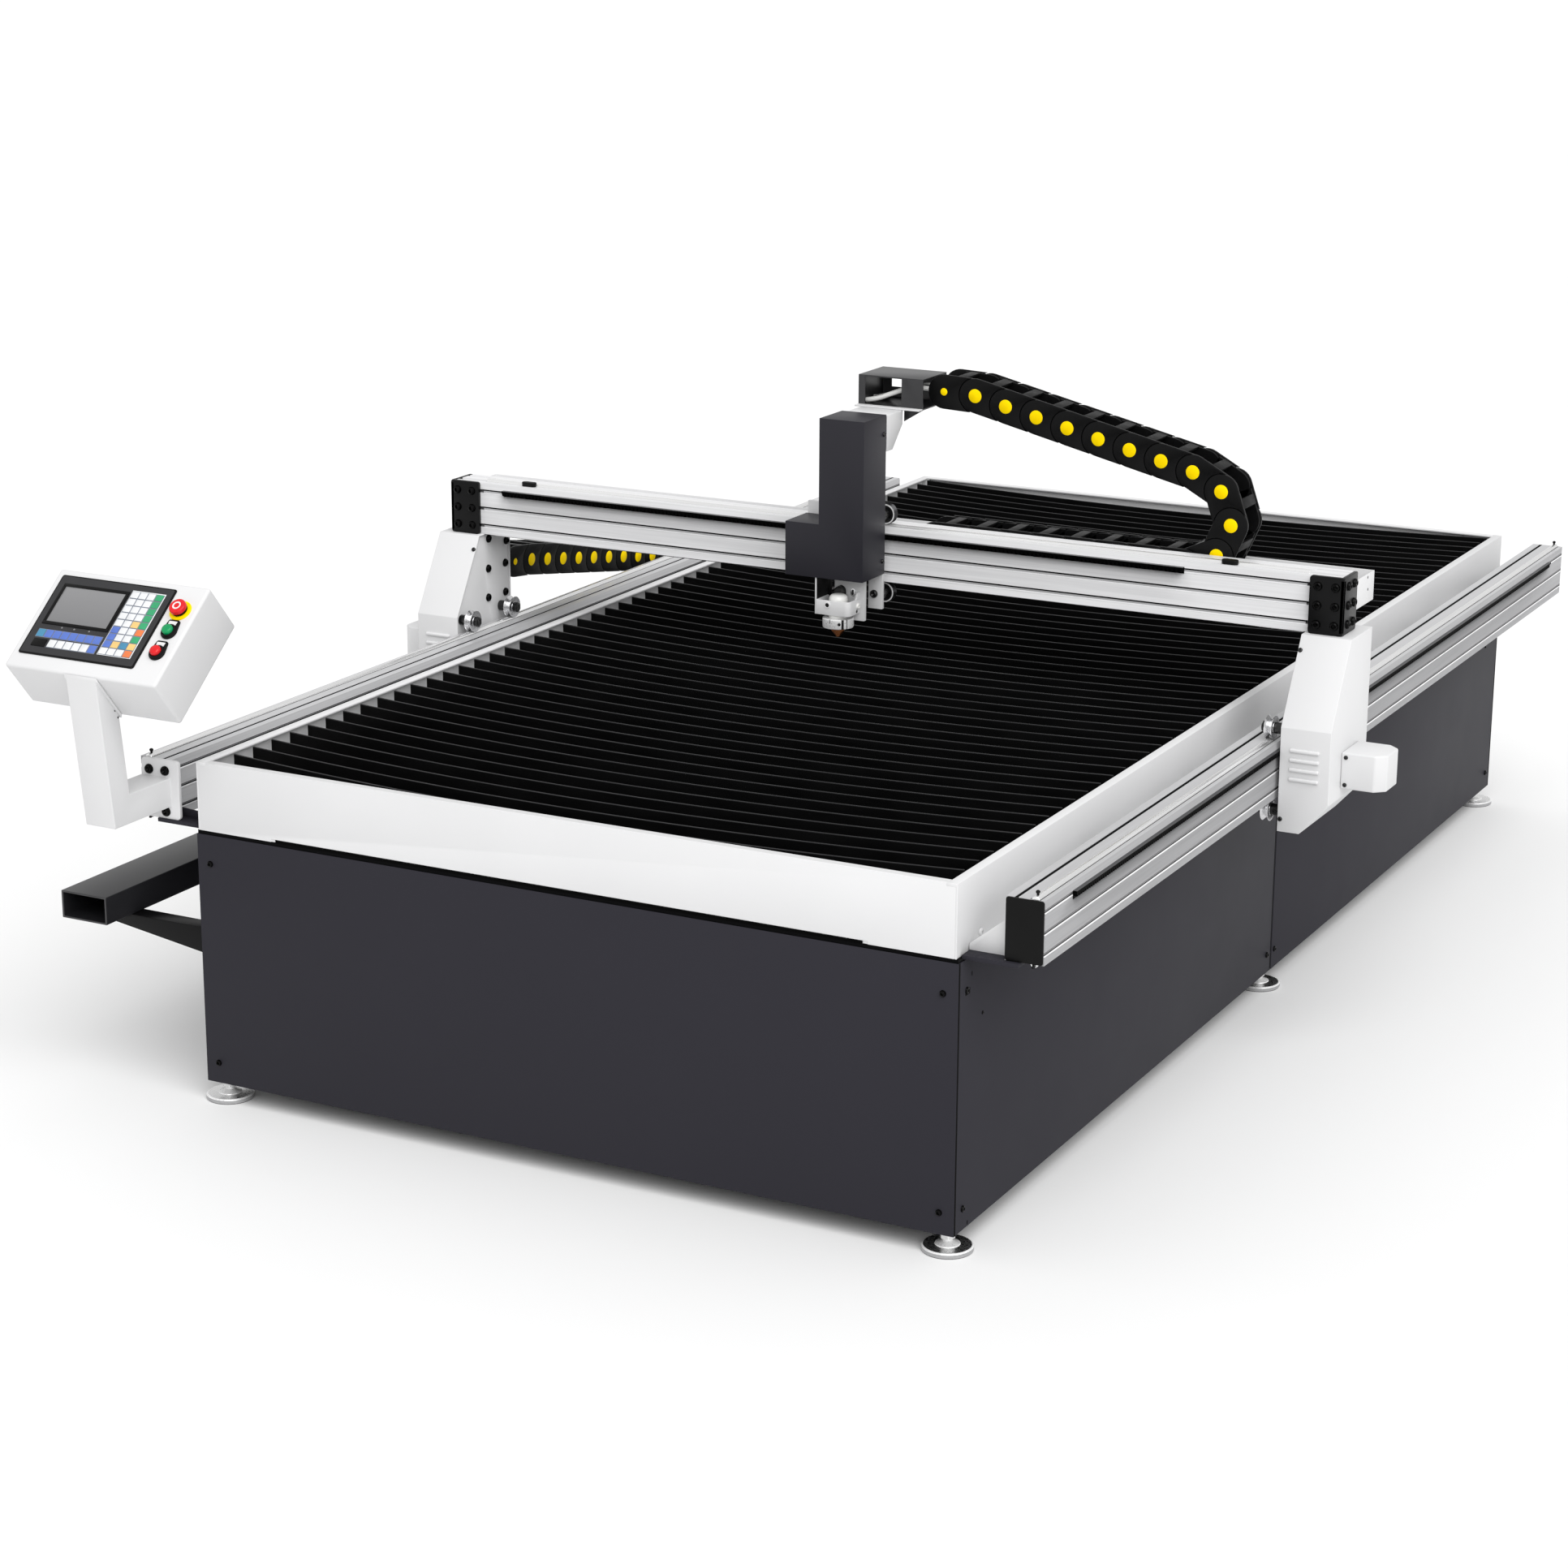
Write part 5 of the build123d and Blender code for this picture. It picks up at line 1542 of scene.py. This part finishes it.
@dataclass
class Torch:
    """Torch with its strap, shield ring, nozzle, lead and slide plate."""

    coats: Finishes
    x: float = -22.5
    y: float = 1212.0
    body_r: float = 20.5
    strap_x: Flat = (-63.0, 16.0)
    strap_y: Flat = (1186.0, 1240.0)
    strap_z: Flat = (851.0, 883.0)
    wall: float = 4.0
    corner: float = 12.0
    guard_top: float = 1025.0
    screw_x: float = -36.0
    screw_z: float = 873.0
    side_screw: Flat = (1228.0, 868.0)
    ring_r: float = 34.0
    ring_z: Flat = (822.0, 843.0)
    slots: tuple[Area, ...] = ((-95, 0.7, 835, 843), (-47, 2.6, 823, 843), (-30, 0.9, 823, 843),
                               (60, 2.6, 823, 843), (150, 2.6, 823, 843), (-150, 2.6, 823, 843))
    hole_turn: float = -60.0
    hole_z: float = 834.0
    lead_x: float = -30.0
    lead_z: float = 895.0
    lead_r: float = 11.0
    lead_back: float = 1249.7
    slot_at: Flat = (-1.0, 894.5)

    def build(self) -> None:
        """Build and dress the torch."""
        self.build_slide()
        self.build_strap()
        self.build_body()
        self.build_ring()

    def build_slide(self) -> None:
        """Build the slide plate with the slotted screw in it, its slot a dark patch that paints the shade
        there.
        """
        piece = Workpiece("torch_slide_plate", self.coats.white)
        piece.node("torch_slide", 0.8)
        x, z = self.slot_at
        front = self.strap_y[1]
        head = rounded(x - 5.5, x + 5.5, z - 9, z + 9, 5.4)
        piece.prism(head, Axis.Y, front - 1.6, front + 1, 0.6, 2, self.coats.steel)
        # Dark patch that paints the shade in the screw's slot.
        slot = rounded(x - 2.4, x + 2.4, z - 6, z + 6, 2.3)
        piece.prism(slot, Axis.Y, front - 1.9, front, finish=self.coats.oxide)
        piece.hang("torch", ["torch_slide"])

    def strap_outline(self, inset: float) -> list[Flat]:
        """Line of the strap from its left back end round the front to its right back end."""
        (left, right), (front, back) = self.strap_x, self.strap_y
        turn = arc((right - self.corner, front + self.corner), self.corner - inset, 270, 360, 8)
        return [(left + inset, back), (left + inset, front + inset), *turn, (right - inset, back)]

    def build_strap(self) -> None:
        """Build the white strap, its floor, its ear, the tall guard at its left and its screws."""
        piece = Workpiece("torch_holder", self.coats.white)
        (left, right), (front, back), (low, high) = self.strap_x, self.strap_y, self.strap_z
        outer, inner = self.strap_outline(0), self.strap_outline(self.wall)
        piece.prism(outer + inner[::-1], Axis.Z, low, high, 1.0)
        centre, hole = (self.x, self.y), self.body_r + 0.3
        halves = ((inner[:2], 90, 270), (inner[:1:-1], 90, -90))
        for edge, start, end in halves:
            floor = [(self.x, back), *edge, (self.x, front + self.wall)] + arc(centre, hole, end, start, 16)
            piece.prism(floor, Axis.Z, low, low + self.wall)
        ear = [(back - 20, high - 2), (back, high - 2), (back, high + 14)]
        ear += [(back - 12, high + 14), (back - 17, high + 4)]
        piece.prism(ear, Axis.X, right - self.wall, right, 0.8)
        piece.box((left - 3, front, low), (left, back, self.guard_top), 0.8)
        piece.box((left - 0.5, front + 3, high), (left + 0.4, back, self.guard_top), finish=self.coats.black)
        spot = (self.screw_x, front, self.screw_z)
        piece.turned([(4.6, 0.3), (4.6, 1.2), (6.8, 1.2), (8, 0.3), (8, -1)], spot, FRONT, 28)
        piece.turned([(0, 0.5), (4.6, 0.5)], spot, FRONT, 28, self.coats.oxide)
        y, z = self.side_screw
        button_head(piece, (right, y, z), Axis.X, 7.0, self.coats.torch)
        piece.turned([(0, 0.4), (3.6, 0.4), (3.6, -1)], (right, y - 4, z - 11), Axis.X, 20, self.coats.oxide)
        piece.hang("torch", ["torch_clamp"])

    def build_body(self) -> None:
        """Build the torch body with a domed top, and the lead that goes back through the slide plate."""
        piece = Workpiece("torch_barrel", self.coats.torch)
        r, low = self.body_r, self.ring_z[1]
        profile = [(0, low), (r - 1, low), (r, low + 1), (r, 884), (r - 1.6, 889), (r - 5, 892.5)]
        profile += [(11, 894), (0, 894)]
        piece.turned(profile, (self.x, self.y, 0), Axis.Z, 48)
        piece.hang("torch", ["torch_body"])
        lead = Workpiece("torch_hose", self.coats.hose)
        stub = bar_profile(self.lead_r, self.y + 14, self.lead_back, 2.5)
        lead.turned(stub, (self.lead_x, 0, self.lead_z), Axis.Y, 28)
        lead.hang("torch", ["torch_lead"])

    def build_ring(self) -> None:
        """Build the shield ring, with dark strips and a dark disc that paint the shade in its slots and its
        hole, and the copper nozzle.
        """
        low, high = self.ring_z
        r = self.ring_r
        ring = Workpiece("torch_shield_ring", self.coats.nickel)
        rim = [(0, low), (r - 2.5, low), (r - 0.8, low + 0.8), (r, low + 2.5)]
        rim += [(r, high - 1), (r - 1, high), (0, high)]
        ring.turned(rim, (self.x, self.y, 0), Axis.Z, 64)
        # Dark strips that paint the shade in the slots between the lugs.
        for turn, half, base, top in self.slots:
            spot = Matrix.Translation((self.x, self.y, 0)) @ Matrix.Rotation(radians(turn), 4, "Z")
            ring.box((r - 3, -half, base), (r + 0.15, half, top), 0.0, 1, self.coats.oxide, spot)
        # Dark disc that paints the shade in the hole.
        turn = radians(self.hole_turn)
        facing = Vector((cos(turn), sin(turn), 0))
        hole = (self.x + (r - 3) * cos(turn), self.y + (r - 3) * sin(turn), self.hole_z)
        ring.turned([(0, 3.3), (3.4, 3.3), (3.4, 0)], hole, facing, 20, self.coats.oxide)
        ring.hang("torch", ["torch_ring"])
        tip = Workpiece("torch_tip", self.coats.copper)
        cone = [(0, 804), (2, 804), (2, 800.5), (4.2, 800.5), (5.2, 801.5), (13, 812), (14.5, 814)]
        cone += [(14.5, low), (0, low)]
        tip.turned(cone, (self.x, self.y, 0), Axis.Z, 40)
        tip.hang("torch", ["torch_nozzle"])


@dataclass
class LinkChain:
    """A cable chain whose links keep their shape, laid along a line between its two ends."""

    coats: Finishes
    name: str
    node: str
    fixed: str
    moving: str
    across: Axis
    middle: float
    start: Flat
    lead: float
    slope: float
    level: float
    low: float
    end: float
    pitch: float = 73.3
    bend_r: float = 99.0
    head_r: float = 37.0
    nest_r: float = 38.6
    tail_r: float = 35.0
    half_width: float = 44.6
    plate: float = 7.0
    disc_r: float = 15.0
    first_disc_r: float = 8.0
    far: float = 1000.0
    search_step: float = 0.02
    entry: float = field(init=False)
    first: Flat = field(init=False)
    knee: Flat = field(init=False)
    centre: Flat = field(init=False)
    legs: list[float] = field(init=False)

    def __post_init__(self) -> None:
        """Work out the lengths of the lead, the slope, the level run, the half turn and the lower run."""
        tilt = radians(self.slope)
        self.entry = 0.0 if self.level else tilt
        turn_z = self.low + self.bend_r * (1 + cos(self.entry))
        self.first = (self.start[0] + self.lead, self.start[1])
        self.knee = (self.first[0] + (self.first[1] - turn_z) / tan(tilt), turn_z)
        turn_x = self.knee[0] + self.level
        self.centre = (turn_x - self.bend_r * sin(self.entry), self.low + self.bend_r)
        slope_run = hypot(self.knee[0] - self.first[0], self.knee[1] - self.first[1])
        bend = self.bend_r * (pi - self.entry)
        self.legs = [self.lead, slope_run, self.level, bend, self.centre[0] - self.end]

    def point(self, s: float) -> Flat:
        """The place on the chain's line after a length s from its moving end."""
        lead, slope_run, level, bend, _ = self.legs
        if s < lead:
            return (self.start[0] + s, self.start[1])
        s -= lead
        if s < slope_run:
            share = s / slope_run
            return tuple(p + (q - p) * share for p, q in zip(self.first, self.knee))
        s -= slope_run
        if s < level:
            return (self.knee[0] + s, self.knee[1])
        s -= level
        if s < bend:
            angle = pi / 2 - self.entry - s / self.bend_r
            return (self.centre[0] + self.bend_r * cos(angle), self.centre[1] + self.bend_r * sin(angle))
        return (self.centre[0] - (s - bend), self.low)

    def stations(self) -> list[float]:
        """Lengths along the line where the link pins are, one straight pitch apart."""
        found = [0.0]
        s = self.pitch
        while s < sum(self.legs):
            a, b = self.point(found[-1]), self.point(s)
            if hypot(b[0] - a[0], b[1] - a[1]) >= self.pitch:
                found.append(s)
                s += self.pitch
            else:
                s += self.search_step
        return found

    def share(self, s: float) -> float:
        """How much of the moving end's travel a link at a length s takes up."""
        upper = sum(self.legs[:3])
        lower = sum(self.legs[:4])
        first, last = self.pitch / 2, sum(self.legs) - self.pitch
        if s < upper:
            return 1.0 - 0.5 * max(0.0, (s - first) / (upper - first))
        if s > lower:
            return max(0.0, 0.5 - 0.5 * (s - lower) / (last - lower))
        return 0.5

    def build(self) -> None:
        """Build every link on its place."""
        stations = self.stations()
        for i, (s0, s1) in enumerate(zip(stations, stations[1:])):
            piece = Workpiece(f"{self.name}_link_{i + 1:02d}", self.coats.nylon)
            place = self.link_place(self.point(s0), self.point(s1))
            self.shape_link(piece, place, self.disc_r if i else self.first_disc_r)
            link = piece.hang(None, [self.node])
            self.follow(link)

    def link_place(self, a: Flat, b: Flat) -> Matrix:
        """The frame of a link: along it, up from it, and across the chain."""
        along = Vector((b[0] - a[0], b[1] - a[1])).normalized()
        if self.across is Axis.Y:
            axes = ((along.x, 0, along.y), (-along.y, 0, along.x), (0, -1, 0))
            at = (a[0], self.middle, a[1])
        else:
            axes = ((0, along.x, along.y), (0, -along.y, along.x), (1, 0, 0))
            at = (self.middle, a[0], a[1])
        return Matrix.Translation(at) @ Matrix(axes).transposed().to_4x4()

    def shape_link(self, piece: Workpiece, place: Matrix, disc_r: float) -> None:
        """Shape one link: two outer cheeks, two tail plates, two cross bars and the pin discs.

        Args:
            piece: Piece to fill.
            place: Frame of the link.
            disc_r: Radius of the pin discs.
        """
        nest = 90 - atan2((self.nest_r**2 - self.head_r**2) ** 0.5, self.head_r) * 180 / pi
        cheek = arc((0, 0), self.head_r, 90, 270, 16)
        cheek += arc((self.pitch, 0), self.nest_r, 180 + nest, 180 - nest, 12)
        tail = [(14, -self.tail_r)] + arc((self.pitch, 0), self.tail_r, -90, 90, 12) + [(14, self.tail_r)]
        outer, inner = self.half_width, self.half_width - self.plate
        for side in (-1, 1):
            low, high = sorted((side * inner, side * outer))
            piece.prism(cheek, Axis.Z, low, high, 1.2, 2, None, place)
            low, high = sorted((side * (inner - self.plate), side * (inner - 0.4)))
            piece.prism(tail, Axis.Z, low, high, 0.8, 1, None, place)
            disc = [(0, 1.3), (disc_r - 2, 1.3), (disc_r, 0.2), (disc_r, -1)]
            spot = place @ Matrix.Translation((0, 0, side * outer))
            piece.turned(disc, (0, 0, 0), Vector((0, 0, side)), 28, self.coats.yellow, spot)
        middle = self.pitch / 2
        for up in (-1, 1):
            low, high = sorted((up * (self.head_r - 7), up * (self.head_r - 1)))
            piece.box((middle - 11, low, -inner), (middle + 11, high, inner), 1.0, 2, None, place)

    def follow(self, link: bpy.types.Object) -> None:
        """Bake a link's place into its mesh.

        Args:
            link: The link.
        """
        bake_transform(link)


@dataclass
class ChainLug:
    """Forked bracket on the left leg that holds the lengthwise chain."""

    coats: Finishes
    across: Flat = (-1105.6, -1030.4)
    root: Flat = (1432.0, 1440.0)
    root_z: Flat = (775.0, 831.0)
    tip: float = 1518.0
    ear_z: Flat = (783.0, 819.0)
    ear_t: float = 6.0

    def build(self) -> None:
        """Build the plate on the leg and the two ears that hold the chain."""
        piece = Workpiece("table_chain_lug", self.coats.black)
        x0, x1 = self.across
        piece.box((x0, self.root[0], self.root_z[0]), (x1, self.root[1], self.root_z[1]), 1.0)
        for left in (x0, x1 - self.ear_t):
            outline = rounded(self.root[0], self.tip, *self.ear_z, 10)
            piece.prism(outline, Axis.X, left, left + self.ear_t, 0.8)
        piece.hang("gantry")


@dataclass
class Studio:
    """Pale floor, soft light and the camera."""

    camera: Point = (3.2024, -6.7961, 2.5536)
    heading: float = 27.55
    pitch: float = -16.17
    roll: float = 0.284
    lens: float = 78.75
    floor_half: float = 80.0
    floor_tones: Point = (0.825, 0.83, 0.835)
    sky: float = 0.77
    sun: float = 2.37
    sun_size: float = 60.0
    sun_from: Point = (0.48, -0.5, 0.72)

    def build(self) -> None:
        """Build the floor, the light and the camera."""
        self.build_floor()
        self.build_light()
        self.build_camera()

    def build_floor(self) -> None:
        """Lay the floor."""
        dark, tone, light = (3 * (value,) for value in self.floor_tones)
        graph = FinishGraph("studio_floor", tone, 0.75)
        graph.tint(graph.span(graph.noise(0.4), 0.0, 1.0), dark, light)
        bm = bmesh.new()
        bmesh.ops.create_grid(bm, x_segments=1, y_segments=1, size=self.floor_half)
        mesh = bpy.data.meshes.new("floor")
        bm.to_mesh(mesh)
        bm.free()
        mesh.materials.append(graph.material)
        floor = bpy.data.objects.new("floor", mesh)
        bpy.context.scene.collection.objects.link(floor)

    def build_light(self) -> None:
        """Light the scene with an even sky and one large soft sun."""
        scene = bpy.context.scene
        scene.view_settings.view_transform = "Standard"
        world = bpy.data.worlds.new("studio_sky")
        world.use_nodes = True
        sky = world.node_tree.nodes["Background"]
        sky.inputs["Color"].default_value = (1.0, 1.0, 1.0, 1.0)
        sky.inputs["Strength"].default_value = self.sky
        scene.world = world
        data = bpy.data.lights.new("soft_sun", "SUN")
        data.energy = self.sun
        data.angle = radians(self.sun_size)
        sun = bpy.data.objects.new("soft_sun", data)
        sun.matrix_world = toward(Vector(self.sun_from))
        scene.collection.objects.link(sun)

    def build_camera(self) -> None:
        """Set the camera at the photograph's viewing angle."""
        data = bpy.data.cameras.new("view")
        data.lens = self.lens
        data.sensor_width = 36.0
        data.sensor_fit = "HORIZONTAL"
        data.clip_end = 500.0
        camera = bpy.data.objects.new("view", data)
        heading = Matrix.Rotation(radians(self.heading), 4, "Z")
        tilt = Matrix.Rotation(radians(90 + self.pitch), 4, "X")
        roll = Matrix.Rotation(radians(self.roll), 4, "Z")
        camera.matrix_world = Matrix.Translation(self.camera) @ (heading @ tilt) @ roll
        bpy.context.scene.collection.objects.link(camera)
        bpy.context.scene.camera = camera


def main() -> None:
    """Build every sub-assembly in order."""
    logging.basicConfig(level=logging.INFO, format="%(name)s %(message)s")
    coats = Finishes()
    Studio().build()
    for assembly in (Base, Bed, Rails, Console, Gantry, Head, Torch):
        assembly(coats).build()
    LinkChain(coats, "beam_chain", "x_chain", "gantry", "carriage", Axis.Y, middle=1452.0, start=(128, 1315),
              lead=60, slope=13.3, level=0, low=992, end=84, bend_r=101.0).build()
    LinkChain(coats, "table_chain", "y_chain", "table", "gantry", Axis.X, middle=-1068.0, start=(1507, 801),
              lead=24, slope=9.95, level=153, low=460.5, end=1400).build()
    ChainLug(coats).build()


if __name__ == "__main__":
    main()
